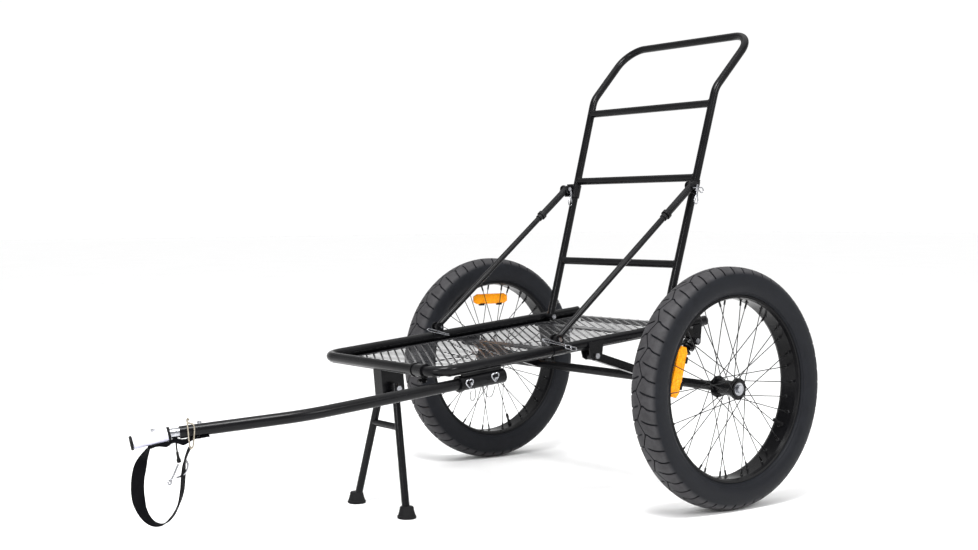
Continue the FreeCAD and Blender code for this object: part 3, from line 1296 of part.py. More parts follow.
def make_strap_gather():
    """The strap's bunched end: it hangs in folds along the underside of the hitch, punched for the pins."""
    forward = Vector(-math.cos(yaw), math.sin(yaw), 0)
    root = bar_tip(0)

    def under(axis_point, drop):
        """A spot below a point of the hitch's axis, as (forward, up) from the bar's end."""
        return (axis_point - root).dot(forward), axis_point.z - root.z - drop

    sleeve_drop = float(dim.sleeve_od) / 2 + 0.6
    ring_drop = float(dim.ring_od) / 2 + 1
    stub_drop = float(dim.stub_od) / 2 + 0.4
    bar_under = float(dim.bar_od) / 2 + 0.4
    upper = [under(bar_tip(along), drop) for along, drop in (
        (-57, bar_under), (-24, bar_under), (-18, 14), (-12, 15.3), (-4, 14.5), (2, bar_under),
        (4, stub_drop), (11, stub_drop))]
    upper += [under(sleeve_point(along), drop) for along, drop in (
        (-2, ring_drop), (6, ring_drop), (8, sleeve_drop), (43, sleeve_drop))]
    lower = [under(sleeve_point(along), drop) for along, drop in (
        (43, 17), (37, 18.5), (30, 17), (22, 18), (15, 20.5), (9, 22.5), (3, 21), (-1, 18.5))]
    lower += [under(bar_tip(along), drop) for along, drop in (
        (9, 17.5), (1, 21), (-6, 24.5), (-12, 23), (-17, 20.5), (-22, 18), (-31, 15.4), (-57, 15))]
    web = padded_body("strap_gather_web", upper + lower, dim.gather_width,
                      Placement(root, Rotation(forward, Z_AXIS, forward.cross(Z_AXIS), "XYZ")))
    punches = [cylinder(f"strap_gather_hole_{tag}", 5, 60, spot, Z_AXIS, True)
               for tag, spot in (("bar", bar_tip(-38)), ("sleeve", sleeve_point(sleeve_pin_at)))]
    return cut("strap_gather_punched", web, *punches)


node(make_strap(), "tow_strap")
node(make_strap_gather(), "strap_gather")
node(make_cord("hitch_tether_cord", TETHER_ROUTE, 1.6), "hitch_tether")
for tag, route in LANYARD_ROUTES.items():
    node(make_cord(f"receiver_lanyard_{tag}_wire", route, 0.8), f"receiver_lanyard_{tag}")

# ---------------------------------------------------------------- write the parts
doc.recompute()
problems = [f"{item.Name}: {item.State}" for item in doc.Objects
            if "Invalid" in item.State or "Error" in item.State]
for item in nodes:
    if item.Shape.isNull() or not item.Shape.isValid():
        problems.append(f"{item.Label}: bad shape")
if problems:
    raise RuntimeError("\n".join(problems))
os.makedirs("parts", exist_ok=True)
for item in nodes:
    item.Shape.exportStep(f"parts/{item.Label}.step")
    print(f"{item.Label}: {len(item.Shape.Solids)} solids, {item.Shape.Volume / 1000:.1f} cm3")
print(len(nodes), "parts; axle at x =", round(axle_x, 2), "; brace", round(brace_length, 1))
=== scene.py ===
"""The looks of the game cart: treaded tyres, an expanded-metal deck, sprung shocks, webbing and wire
lanyards, and the finish of every tube, pin and wheel part.

Metres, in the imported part's own frame: +Z up, the hitch points to -X and the receiver is on -Y.
"""

import math

import bpy
import numpy as np
from mathutils import Matrix, Vector


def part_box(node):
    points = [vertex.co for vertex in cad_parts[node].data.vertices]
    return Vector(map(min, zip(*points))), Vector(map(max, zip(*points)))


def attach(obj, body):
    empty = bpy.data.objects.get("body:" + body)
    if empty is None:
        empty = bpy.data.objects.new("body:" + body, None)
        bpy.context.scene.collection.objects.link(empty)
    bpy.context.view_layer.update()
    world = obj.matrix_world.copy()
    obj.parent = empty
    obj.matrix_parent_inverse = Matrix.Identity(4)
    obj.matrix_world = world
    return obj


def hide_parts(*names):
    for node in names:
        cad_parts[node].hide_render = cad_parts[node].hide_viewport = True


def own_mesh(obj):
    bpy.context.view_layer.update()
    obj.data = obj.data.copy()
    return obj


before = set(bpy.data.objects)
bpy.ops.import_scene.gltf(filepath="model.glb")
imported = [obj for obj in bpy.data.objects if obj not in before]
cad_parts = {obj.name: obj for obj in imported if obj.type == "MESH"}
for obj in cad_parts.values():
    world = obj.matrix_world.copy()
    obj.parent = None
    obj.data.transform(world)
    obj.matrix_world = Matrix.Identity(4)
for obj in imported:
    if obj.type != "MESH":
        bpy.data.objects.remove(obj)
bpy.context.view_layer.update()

# ---------------------------------------------------------------- places in the frame
SIDES = {"near": -1, "far": 1}
tyre_low, tyre_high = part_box("tyre_near")
WHEEL_RADIUS = (tyre_high.z - tyre_low.z) / 2
TYRE_HALF_WIDTH = (tyre_high.y - tyre_low.y) / 2
AXLE_X = (tyre_low.x + tyre_high.x) / 2
HALF_TRACK = -(tyre_low.y + tyre_high.y) / 2

BED_TILT = math.radians(5.45)
RAIL_HEIGHT = 0.3856
RAIL_RADIUS = 0.0111
RAIL_LANE = 0.230
DECK_DROP = 0.0124
BED_FRONT = -0.641 / math.cos(BED_TILT)
BED_REAR = 0.136 / math.cos(BED_TILT)
HANDLE_PIVOT_X = 0.025
HANDLE_BEND = (0.1865, 0.9538)
HANDLE_HALF_WIDTH, HANDLE_TOP_HALF_WIDTH = 0.208, 0.222
HANDLE_TOP = (0.3149, 1.0914)
HANDLE_RADIUS = 0.0095
RUNG_RADIUS = 0.0092
RUNG_HEIGHTS = (0.5326, 0.738, 0.9165)
SHOCK_TOP = (0.094, 0.353)
SHOCK_FOOT = (0.0145, 0.281)


def at(x, y, z):
    """A point given from the axle, as the design gives its places."""
    return Vector((x + AXLE_X, y, z))


def lean(vector):
    """Turns a direction into the tilted bed."""
    return Matrix.Rotation(-BED_TILT, 3, "Y") @ Vector(vector)


def on_bed(along, y, up):
    """A point of the tilted bed: along it from the axle, across it, and above the rails' centres."""
    return at(0, 0, RAIL_HEIGHT) + lean((along, y, up))


def wheel_centre(side):
    return at(0, SIDES[side] * HALF_TRACK, WHEEL_RADIUS)


# ---------------------------------------------------------------- camera, floor and light
CAMERA_PLACE = Vector((-1.8656, -2.6574, 0.6496))
CAMERA_AZIMUTH = math.radians(-33.939)
CAMERA_ELEVATION = math.radians(0.417)
CAMERA_ROLL = math.radians(-0.314)
CAMERA_LENS = 52.67
CAMERA_SHIFT_X, CAMERA_SHIFT_Y = 0.0816, -0.0494
SKY_LEVELS = ((0.0, 0.64), (0.2, 0.64), (0.4, 0.3), (0.62, 0.3), (0.82, 1.0))
SKY_STRENGTH = 1.6
SOFTBOXES = {
    "overhead_light": dict(place=(-0.8, -1.2, 3.4), target=(0, 0, 0.3), width=1.1, height=1.1, power=120),
    "left_light": dict(place=(-3.6, -1.6, 1.9), target=(0, 0, 0.4), width=0.6, height=1.2, power=60),
    "front_light": dict(place=(0.9, -3.6, 2.4), target=(0, 0, 0.4), width=0.8, height=0.8, power=50),
}


def make_camera():
    a, e, roll = CAMERA_AZIMUTH, CAMERA_ELEVATION, CAMERA_ROLL
    back = Vector((math.sin(a) * math.cos(e), -math.cos(a) * math.cos(e), math.sin(e)))
    level = Vector((0, 0, 1)).cross(back).normalized()
    upright = back.cross(level)
    right = level * math.cos(roll) + upright * math.sin(roll)
    up = upright * math.cos(roll) - level * math.sin(roll)
    data = bpy.data.cameras.new("camera")
    data.lens = CAMERA_LENS
    data.shift_x = CAMERA_SHIFT_X
    data.shift_y = CAMERA_SHIFT_Y
    camera = bpy.data.objects.new("camera", data)
    bpy.context.scene.collection.objects.link(camera)
    turn = Matrix((right, up, back)).transposed().to_4x4()
    camera.matrix_world = Matrix.Translation(CAMERA_PLACE) @ turn
    bpy.context.scene.camera = camera


def make_softbox(name, place, target, width, height, power):
    """A rectangular lamp that faces its target; power in watts."""
    data = bpy.data.lights.new(name, "AREA")
    data.shape = "RECTANGLE"
    data.size = width
    data.size_y = height
    data.energy = power
    lamp = bpy.data.objects.new(name, data)
    bpy.context.scene.collection.objects.link(lamp)
    back = Vector(place) - Vector(target)
    turn = back.to_track_quat("Z", "Y").to_matrix().to_4x4()
    lamp.matrix_world = Matrix.Translation(Vector(place)) @ turn


def make_world():
    """A studio: white at the horizon, brighter overhead, dimmer between to show the tubes' roundness."""
    world = bpy.data.worlds.new("studio")
    bpy.context.scene.world = world
    world.use_nodes = True
    tree = world.node_tree
    tree.nodes.clear()
    place = tree.nodes.new("ShaderNodeTexCoord")
    split = tree.nodes.new("ShaderNodeSeparateXYZ")
    ramp = tree.nodes.new("ShaderNodeValToRGB")
    glow = tree.nodes.new("ShaderNodeBackground")
    out = tree.nodes.new("ShaderNodeOutputWorld")
    tree.links.new(place.outputs["Generated"], split.inputs[0])
    tree.links.new(split.outputs["Z"], ramp.inputs[0])
    tree.links.new(ramp.outputs[0], glow.inputs[0])
    tree.links.new(glow.outputs[0], out.inputs[0])
    ramp.color_ramp.elements[0].position = SKY_LEVELS[0][0]
    ramp.color_ramp.elements[1].position = SKY_LEVELS[-1][0]
    for position, _ in SKY_LEVELS[1:-1]:
        ramp.color_ramp.elements.new(position)
    for element, (_, level) in zip(ramp.color_ramp.elements, SKY_LEVELS):
        element.color = (level, level, level, 1)
    glow.inputs["Strength"].default_value = SKY_STRENGTH


# ---------------------------------------------------------------- material building blocks
def new_material(name):
    """An empty node material: its tree, its shader and object coordinates in metres."""
    made = bpy.data.materials.new(name)
    made.use_nodes = True
    tree = made.node_tree
    shader = tree.nodes["Principled BSDF"]
    place = tree.nodes.new("ShaderNodeTexCoord").outputs["Object"]
    return made, tree, shader, place


def noise(tree, place, scale, detail=3.0, roughness=0.55):
    texture = tree.nodes.new("ShaderNodeTexNoise")
    texture.inputs["Scale"].default_value = scale
    texture.inputs["Detail"].default_value = detail
    texture.inputs["Roughness"].default_value = roughness
    tree.links.new(place, texture.inputs["Vector"])
    return texture.outputs["Fac"]


def ramp_between(tree, factor, low, high, colour_low, colour_high):
    """Colour that goes from one to the other as factor goes from low to high."""
    ramp = tree.nodes.new("ShaderNodeValToRGB")
    ramp.color_ramp.elements[0].position = low
    ramp.color_ramp.elements[1].position = high
    ramp.color_ramp.elements[0].color = (*colour_low, 1)
    ramp.color_ramp.elements[1].color = (*colour_high, 1)
    tree.links.new(factor, ramp.inputs[0])
    return ramp.outputs[0]


def spread(tree, factor, low, high):
    """A number that goes from low to high over the middle of factor's range, where noise mostly lies."""
    stretch = tree.nodes.new("ShaderNodeMapRange")
    stretch.inputs["From Min"].default_value = 0.3
    stretch.inputs["From Max"].default_value = 0.7
    stretch.inputs["To Min"].default_value = low
    stretch.inputs["To Max"].default_value = high
    tree.links.new(factor, stretch.inputs["Value"])
    return stretch.outputs["Result"]


def bumped(tree, shader, height, distance, strength=1.0):
    bump = tree.nodes.new("ShaderNodeBump")
    bump.inputs["Strength"].default_value = strength
    bump.inputs["Distance"].default_value = distance
    tree.links.new(height, bump.inputs["Height"])
    tree.links.new(bump.outputs["Normal"], shader.inputs["Normal"])


def add(tree, first, second, operation="ADD"):
    """The sum, or another operation's result, of two sockets or numbers."""
    node = tree.nodes.new("ShaderNodeMath")
    node.operation = operation
    for socket, value in zip(node.inputs, (first, second)):
        if isinstance(value, (int, float)):
            socket.default_value = value
        else:
            tree.links.new(value, socket)
    return node.outputs[0]


def finish_material(name, dark, light, rough, grain, depth, metal=0.0, gloss=0.5, patch=14.0):
    """A moulded, painted or metal surface: patchy colour and gloss, and a fine grain in relief.

    dark and light are the two colours, rough the least and most roughness, grain and patch the scales of
    the relief and of the patches per metre, and depth the relief's height in metres."""
    made, tree, shader, place = new_material(name)
    patches = noise(tree, place, patch, 4.0)
    fine = noise(tree, place, grain, 2.0)
    mixed = add(tree, add(tree, patches, 0.65, "MULTIPLY"), add(tree, fine, 0.35, "MULTIPLY"))
    tree.links.new(ramp_between(tree, mixed, 0.38, 0.62, dark, light), shader.inputs["Base Color"])
    tree.links.new(spread(tree, mixed, *rough), shader.inputs["Roughness"])
    bumped(tree, shader, fine, depth)
    shader.inputs["Metallic"].default_value = metal
    shader.inputs["Specular IOR Level"].default_value = gloss
    return made


NYLON_DARK, NYLON_LIGHT = (0.001, 0.001, 0.0014), (0.004, 0.004, 0.0052)
NYLON_ROUGHNESS = (0.6, 0.8)
NYLON_GLOSS = 0.04


def webbing_material():
    """Woven nylon tape: diagonal ribs, laid out by the mesh's own measure along and across the tape."""
    made, tree, shader, place = new_material("webbing_weave")
    lengths = tree.nodes.new("ShaderNodeUVMap")
    lengths.uv_map = "tape"
    weave = []
    for turn in (0.6, -0.6):
        mapping = tree.nodes.new("ShaderNodeMapping")
        mapping.inputs["Rotation"].default_value = (0, 0, turn)
        tree.links.new(lengths.outputs["UV"], mapping.inputs["Vector"])
        wave = tree.nodes.new("ShaderNodeTexWave")
        wave.inputs["Scale"].default_value = 190
        wave.inputs["Distortion"].default_value = 0.6
        tree.links.new(mapping.outputs["Vector"], wave.inputs["Vector"])
        weave.append(wave.outputs["Fac"])
    height = add(tree, *weave, "MAXIMUM")
    colour = ramp_between(tree, height, 0.35, 1.0, NYLON_DARK, NYLON_LIGHT)
    tree.links.new(colour, shader.inputs["Base Color"])
    tree.links.new(spread(tree, noise(tree, place, 60.0), *NYLON_ROUGHNESS), shader.inputs["Roughness"])
    bumped(tree, shader, height, 0.0004)
    shader.inputs["Specular IOR Level"].default_value = NYLON_GLOSS
    return made


def stitched_material():
    """The strap's sewn end: the same black nylon, ribbed by rows of stitching."""
    made, tree, shader, place = new_material("stitched_webbing")
    rows = tree.nodes.new("ShaderNodeTexWave")
    rows.bands_direction = "Z"
    rows.inputs["Scale"].default_value = 110
    rows.inputs["Distortion"].default_value = 1.2
    tree.links.new(place, rows.inputs["Vector"])
    weave = noise(tree, place, 900.0, 3.0)
    height = add(tree, add(tree, rows.outputs["Fac"], 0.7, "MULTIPLY"), add(tree, weave, 0.3, "MULTIPLY"))
    colour = ramp_between(tree, height, 0.3, 0.9, NYLON_DARK, NYLON_LIGHT)
    tree.links.new(colour, shader.inputs["Base Color"])
    tree.links.new(spread(tree, weave, *NYLON_ROUGHNESS), shader.inputs["Roughness"])
    bumped(tree, shader, height, 0.0004)
    shader.inputs["Specular IOR Level"].default_value = NYLON_GLOSS
    return made


def sleeve_material():
    """Gloss white tube with painted shade: darker and bluer where its surface faces down, and faint scuffs.
    """
    made, tree, shader, place = new_material("white_plastic")
    split = tree.nodes.new("ShaderNodeSeparateXYZ")
    geometry = tree.nodes.new("ShaderNodeNewGeometry")
    tree.links.new(geometry.outputs["Normal"], split.inputs[0])
    scuffs = noise(tree, place, 140.0, 4.0)
    # painted shade: the colour darkens and turns bluer as the surface's normal points down, mixed with the
    # scuffs' noise
    painted_shade_and_scuffs = add(tree, split.outputs["Z"], add(tree, scuffs, 0.25, "MULTIPLY"))
    tree.links.new(ramp_between(tree, add(tree, add(tree, painted_shade_and_scuffs, 0.5, "MULTIPLY"), 0.4), 0.0, 0.75,
                                (0.40, 0.40, 0.52), (0.86, 0.86, 0.89)), shader.inputs["Base Color"])
    tree.links.new(spread(tree, scuffs, 0.3, 0.42), shader.inputs["Roughness"])
    bumped(tree, shader, noise(tree, place, 800.0), 0.00005)
    shader.inputs["Specular IOR Level"].default_value = 0.3
    return made


def reflector_material():
    """Moulded amber plastic with rows of small prisms under a clear face."""
    made, tree, shader, place = new_material("amber_prisms")
    cells = tree.nodes.new("ShaderNodeTexVoronoi")
    cells.inputs["Scale"].default_value = 330
    tree.links.new(place, cells.inputs["Vector"])
    distance = cells.outputs["Distance"]
    tree.links.new(ramp_between(tree, distance, 0.1, 0.75, (1.0, 0.46, 0.0), (0.92, 0.25, 0.0)),
                   shader.inputs["Base Color"])
    tree.links.new(spread(tree, noise(tree, place, 40.0), 0.2, 0.32), shader.inputs["Roughness"])
    bumped(tree, shader, distance, 0.0005, 0.6)
    shader.inputs["Specular IOR Level"].default_value = 0.2
    return made


def tyre_material():
    """Blue-black rubber, worn to a dusty grey by the mesh's own wear measure, on the tread's blocks."""
    made, tree, shader, place = new_material("tyre_rubber")
    dust = noise(tree, place, 55.0, 5.0, 0.7)
    grit = noise(tree, place, 900.0, 2.0)
    wear = tree.nodes.new("ShaderNodeAttribute")
    wear.attribute_name = "wear"
    blend = tree.nodes.new("ShaderNodeMix")
    blend.data_type = "RGBA"
    tree.links.new(wear.outputs["Fac"], blend.inputs["Factor"])
    clean = ramp_between(tree, dust, 0.3, 0.7, (0.0040, 0.0046, 0.0064), (0.0078, 0.0086, 0.0115))
    dusty = ramp_between(tree, dust, 0.3, 0.7, (0.026, 0.025, 0.027), (0.046, 0.045, 0.048))
    tree.links.new(clean, blend.inputs["A"])
    tree.links.new(dusty, blend.inputs["B"])
    tree.links.new(blend.outputs["Result"], shader.inputs["Base Color"])
    tree.links.new(spread(tree, dust, 0.42, 0.6), shader.inputs["Roughness"])
    shader.inputs["Specular IOR Level"].default_value = 0.14
    bumped(tree, shader, grit, 0.0002)
    return made


BLACK = (0.0022, 0.0022, 0.0026)
FINISHES = {
    "powder_coat": dict(dark=BLACK, light=(0.0042, 0.0042, 0.005), rough=(0.21, 0.29), grain=700,
                        depth=0.000005, gloss=0.14),
    "deck_paint": dict(dark=(0.006, 0.006, 0.007), light=(0.02, 0.02, 0.022), rough=(0.2, 0.3), grain=900,
                       depth=0.00005, gloss=0.6),
    "black_plating": dict(dark=BLACK, light=(0.0055, 0.0055, 0.0065), rough=(0.18, 0.28), grain=1500,
                          depth=0.00003, gloss=0.18),
    "soft_rubber": dict(dark=(0.005, 0.005, 0.0055), light=(0.011, 0.011, 0.0115), rough=(0.5, 0.66),
                        grain=700, depth=0.00012, gloss=0.1),
    "rim_paint": dict(dark=BLACK, light=(0.0042, 0.0042, 0.005), rough=(0.2, 0.3), grain=1300,
                      depth=0.00003, gloss=0.12),
    "dark_steel": dict(dark=(0.006, 0.006, 0.0065), light=(0.018, 0.018, 0.019), rough=(0.3, 0.45),
                       grain=1800, depth=0.00002, metal=0.6),
    "bright_zinc": dict(dark=(0.20, 0.205, 0.22), light=(0.46, 0.465, 0.49), rough=(0.16, 0.32), grain=1500,
                        depth=0.00003, metal=1.0, patch=90),
    "bearing_steel": dict(dark=(0.22, 0.225, 0.24), light=(0.46, 0.465, 0.49), rough=(0.12, 0.24),
                          grain=1700, depth=0.00002, metal=1.0, patch=50),
    "tan_steel": dict(dark=(0.17, 0.145, 0.11), light=(0.44, 0.40, 0.33), rough=(0.15, 0.3), grain=1400,
                      depth=0.00003, metal=1.0, patch=110),
    "lanyard_jacket": dict(dark=(0.003, 0.003, 0.0035), light=(0.009, 0.009, 0.010), rough=(0.35, 0.5),
                           grain=2400, depth=0.00008, gloss=0.25),
}
MATERIALS = {name: finish_material(name, **finish) for name, finish in FINISHES.items()}
MATERIALS["stitched_webbing"] = stitched_material()
MATERIALS["white_plastic"] = sleeve_material()
MATERIALS["webbing"] = webbing_material()
MATERIALS["amber"] = reflector_material()
MATERIALS["tyre"] = tyre_material()

NODE_MATERIALS = {
    "powder_coat": (
        "bed_frame_tube", "handle_frame", "handle_rungs", "tow_bar", "tow_receiver", "swing_arm_near",
        "swing_arm_far", "axle_beam", "shock_lugs", "arm_brackets", "shock_brackets", "kickstand_bracket",
        "kickstand_legs", "brace_rod_near", "brace_rod_far", "deck_crossbars",
    ),
    "black_plating": (
        "brace_sleeve_near", "brace_sleeve_far", "brace_saddles", "brace_clevises", "front_clamp",
        "hub_near", "hub_far", "shock_body_near", "shock_body_far",
    ),
    "soft_rubber": ("rail_end_caps", "hitch_rings"),
    "rim_paint": ("rim_near", "rim_far"),
    "dark_steel": ("spokes_near", "spokes_far"),
    "bearing_steel": (
        "wheel_bearings_near", "wheel_bearings_far", "shock_rod_near", "shock_rod_far", "stub_axles",
    ),
    "bright_zinc": (
        "saddle_pins", "lock_pins", "hitch_stub", "hitch_pins", "axle_fasteners", "frame_bolts",
    ),
    "white_plastic": ("hitch_sleeve",),
    "stitched_webbing": ("strap_gather",),
}


def paint_frame():
    for name, members in NODE_MATERIALS.items():
        for member in members:
            for material_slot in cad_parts[member].material_slots:
                material_slot.material = MATERIALS[name]


# ---------------------------------------------------------------- mesh building blocks
def mesh_piece(name, points, faces, material, body, sharp_angle=40):
    """A mesh piece that rides on a body; faces sharper than sharp_angle keep their edges."""
    data = bpy.data.meshes.new(name)
    data.from_pydata([tuple(point) for point in points], [], faces)
    data.materials.append(MATERIALS[material])
    data.shade_smooth()
    data.set_sharp_from_angle(angle=math.radians(sharp_angle))
    data.validate()
    piece = bpy.data.objects.new(name, data)
    bpy.context.scene.collection.objects.link(piece)
    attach(piece, body)
    return piece


def grid_faces(rows, columns, close_rows=False):
    """Quads of a grid of points laid row by row, each row a closed ring."""
    faces = []
    for row in range(rows if close_rows else rows - 1):
        for column in range(columns):
            after_row = (row + 1) % rows
            after_column = (column + 1) % columns
            faces.append((row * columns + column, row * columns + after_column,
                          after_row * columns + after_column, after_row * columns + column))
    return faces


def axes_of(direction):
    """Two unit vectors square to a direction and to each other."""
    unit = Vector(direction).normalized()
    side = unit.orthogonal().normalized()
    return unit, side, unit.cross(side)


def lathe(name, base, direction, profile, material, body, steps):
    """A turned piece: profile is a list of (along, radius) from base."""
    unit, side, other = axes_of(direction)
    points = []
    for along, radius in profile:
        for step in range(steps):
            angle = 2 * math.pi * step / steps
            points.append(base + unit * along + (side * math.cos(angle) + other * math.sin(angle)) * radius)
    faces = grid_faces(len(profile), steps)
    faces.append(tuple(range(steps))[::-1])
    faces.append(tuple(range((len(profile) - 1) * steps, len(profile) * steps)))
    return mesh_piece(name, points, faces, material, body, sharp_angle=32)


def smooth_line(points, samples_per_run=8):
    """Points along the NURBS line that a cord's route gives."""
    curve = bpy.data.curves.new("line", "CURVE")
    curve.dimensions = "3D"
    curve.resolution_u = samples_per_run
    add_spline(curve, points)
    holder = bpy.data.objects.new("line", curve)
    bpy.context.scene.collection.objects.link(holder)
    bpy.context.view_layer.update()
    depsgraph = bpy.context.evaluated_depsgraph_get()
    line = bpy.data.meshes.new_from_object(holder.evaluated_get(depsgraph))
    spots = [vertex.co.copy() for vertex in line.vertices]
    bpy.data.objects.remove(holder)
    bpy.data.curves.remove(curve)
    bpy.data.meshes.remove(line)
    return spots


def add_spline(curve, points):
    spline = curve.splines.new("NURBS")
    spline.points.add(len(points) - 1)
    for spot, point in zip(spline.points, points):
        spot.co = (*point, 1)
    spline.order_u = 3
    spline.use_endpoint_u = True
    return spline


def wire(name, points, radius, material, body):
    """A round wire or cord along one smooth line."""
    curve = bpy.data.curves.new(name, "CURVE")
    curve.dimensions = "3D"
    curve.resolution_u = 10
    curve.bevel_depth = radius
    curve.bevel_resolution = 4
    curve.use_fill_caps = True
    add_spline(curve, points)
    curve.materials.append(MATERIALS[material])
    piece = bpy.data.objects.new(name, curve)
    bpy.context.scene.collection.objects.link(piece)
    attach(piece, body)
    return piece


# ---------------------------------------------------------------- tyres
SECTION_RADIUS = 0.2345
SQUARENESS = 2.6
BEAD_HALF_WIDTH = 0.0247
BEAD_RADIUS = 0.2004
BEAD_RIBS = ((0.0085, 0.0008), (0.0035, 0.0006))
RIB_HALF_WIDTH = 0.001
TREAD_EDGE = 0.0362
PITCHES = 54
GROOVE_DEPTH = 0.0030
GROOVE_WIDTH = 0.0036
GROOVE_WALL = 0.0005
GROOVE_SHEAR = 0.0115
STRAIGHT_SHEAR, CURVED_SHEAR = 0.55, 0.45
CENTRE_GROOVE_HALF = 0.0012
LONG_GROOVE_START = 0.0016
SHORT_GROOVE_START = 0.0095
ZIGZAG = 0.008
ZIGZAG_REACH = 0.026
WEAR_FADE = 0.009


def tyre_outline():
    """From the crown down one side: distance along the section, distance across, and radius."""
    half_height = WHEEL_RADIUS - SECTION_RADIUS
    stop = math.pi - math.asin((BEAD_HALF_WIDTH / TYRE_HALF_WIDTH) ** (SQUARENESS / 2))
    angle = np.linspace(0, stop, 600)
    across = TYRE_HALF_WIDTH * np.sin(angle) ** (2 / SQUARENESS)
    cosine = np.cos(angle)
    radius = SECTION_RADIUS + half_height * np.sign(cosine) * np.abs(cosine) ** (2 / SQUARENESS)
    along = np.concatenate([[0], np.cumsum(np.hypot(np.diff(across), np.diff(radius)))])
    return along, across, radius


def groove_columns(pitch_length):
    """Columns of one pitch: its place along the crown, and whether it lies on a groove's floor."""
    half = GROOVE_WIDTH / 2
    outer = half + GROOVE_WALL
    marks = [(-outer, False), (-half, True), (half, True), (outer, False)]
    rest = np.linspace(outer, pitch_length - outer, 6)[1:-1]
    return marks + [(place, False) for place in rest]


def section_rows(edge, bead):
    """Rows along the section from the crown to the bead, and how far the ribs' rows are sunk."""
    rows = [0.0, CENTRE_GROOVE_HALF, LONG_GROOVE_START, 0.0045, 0.0072]
    rows += list(np.arange(SHORT_GROOVE_START, edge - 0.002, 0.0022))
    rows += [edge - 0.0012, edge - 0.0002, edge + 0.0006, edge + 0.004, edge + 0.008]
    rows += list(np.linspace(edge + 0.012, bead - 0.012, 8))
    sinks = {}
    for place, height in BEAD_RIBS:
        middle = bead - place
        rows += [middle - RIB_HALF_WIDTH, middle, middle + RIB_HALF_WIDTH]
        sinks[middle] = -height
    return rows + [bead], sinks


def make_tyre(side):
    """Each row of points keeps one distance from the crown, or from the zigzag groove near it."""
    along, across, radius = tyre_outline()
    crown_side = slice(0, len(along) // 2)
    edge = float(np.interp(TREAD_EDGE, across[crown_side], along[crown_side]))
    pitch_length = 2 * math.pi * WHEEL_RADIUS / PITCHES
    columns = [(pitch + place / pitch_length, pitch, floor)
               for pitch in range(PITCHES) for place, floor in groove_columns(pitch_length)]
    turns, pitch_number, on_floor = (np.array(values) for values in zip(*columns))
    wave = np.mod(turns, 2)
    zigzag = ZIGZAG * np.where(wave < 1, 2 * wave - 1, 3 - 2 * wave)
    rows, sinks = section_rows(edge, along[-1])
    points, wear = [], []

    for sign in (-1, 1):
        long_groove = pitch_number % 2 == (0 if sign < 0 else 1)
        start = np.where(long_groove, LONG_GROOVE_START, SHORT_GROOVE_START)
        for row in rows[::-1] if sign < 0 else rows[1:]:
            near_crown = max(0.0, 1 - row / ZIGZAG_REACH) if row > LONG_GROOVE_START else 1.0
            signed = sign * row + zigzag * near_crown**2 * (3 - 2 * near_crown)
            reach = np.abs(signed)
            y = np.interp(reach, along, across)
            r = np.interp(reach, along, radius)
            slope_y = np.interp(reach + 0.0005, along, across) - y
            slope_r = np.interp(reach + 0.0005, along, radius) - r
            norm = np.hypot(slope_y, slope_r) + 1e-9
            sink = np.full(len(turns), sinks.get(row, 0.0))
            if row <= CENTRE_GROOVE_HALF:
                sink[:] = GROOVE_DEPTH
            elif row < edge - 0.0015:
                sink = np.where(on_floor & (row >= start), GROOVE_DEPTH, 0.0)
            y = (y + slope_r / norm * sink) * np.sign(signed)
            r = r - slope_y / norm * sink
            share = np.clip((edge - row) / (edge - ZIGZAG), 0, 1)
            shear = GROOVE_SHEAR * (STRAIGHT_SHEAR * share + CURVED_SHEAR * share**3)
            angle = (turns * pitch_length - shear) / WHEEL_RADIUS
            points.append(np.stack([r * np.cos(angle), y, r * np.sin(angle)], axis=1))
            wear.append(np.clip((edge - row) / WEAR_FADE, 0, 1) * (sink < GROOVE_DEPTH / 2))
    for sign in (1, -1):
        angle = turns * pitch_length / WHEEL_RADIUS
        y = np.full(len(turns), sign * BEAD_HALF_WIDTH * 0.9)
        points.append(np.stack([BEAD_RADIUS * np.cos(angle), y, BEAD_RADIUS * np.sin(angle)], axis=1))
        wear.append(np.zeros(len(turns)))
    placed = np.concatenate(points) + np.array(wheel_centre(side))
    faces = grid_faces(len(points), len(turns), close_rows=True)
    piece = mesh_piece(f"tyre_tread_{side}", placed, faces, "tyre", f"wheel_{side}",
                       sharp_angle=34)
    piece.data.attributes.new("wear", "FLOAT", "POINT").data.foreach_set("value", np.concatenate(wear))
    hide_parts(f"tyre_{side}")


# ---------------------------------------------------------------- deck
DIAMOND_SHORT, DIAMOND_LONG = 0.020, 0.0346
OPENING_QUARTER = ((1.0, 0.0, 0.68), (0.72, 0.28, 0.78), (0.34, 0.66, 0.80), (0.0, 1.0, 0.84))
STRAND_THICK = 0.0012
STRAND_LEAN = 0.0003
DECK_FRONT, DECK_REAR = BED_FRONT + 0.012, BED_REAR - 0.006
MESH_HALF_WIDTH = 0.2165
SIDE_PLATE_INNER = 0.211
FRONT_PLATE_REACH, FRONT_PLATE_HALF_WIDTH = 0.022, 0.195
REAR_BAR_REACH, REAR_BAR_HALF_WIDTH = 0.012, 0.2215
CROSS_STRIPS = (-0.275, -0.015)
STRIP_HALF_LENGTH, STRIP_HALF_WIDTH = 0.0125, 0.214
LIP_THICK, LIP_DROP = 0.0018, 0.014


def deck_spot(along, y, up):
    return on_bed(along, y, up - DECK_DROP)


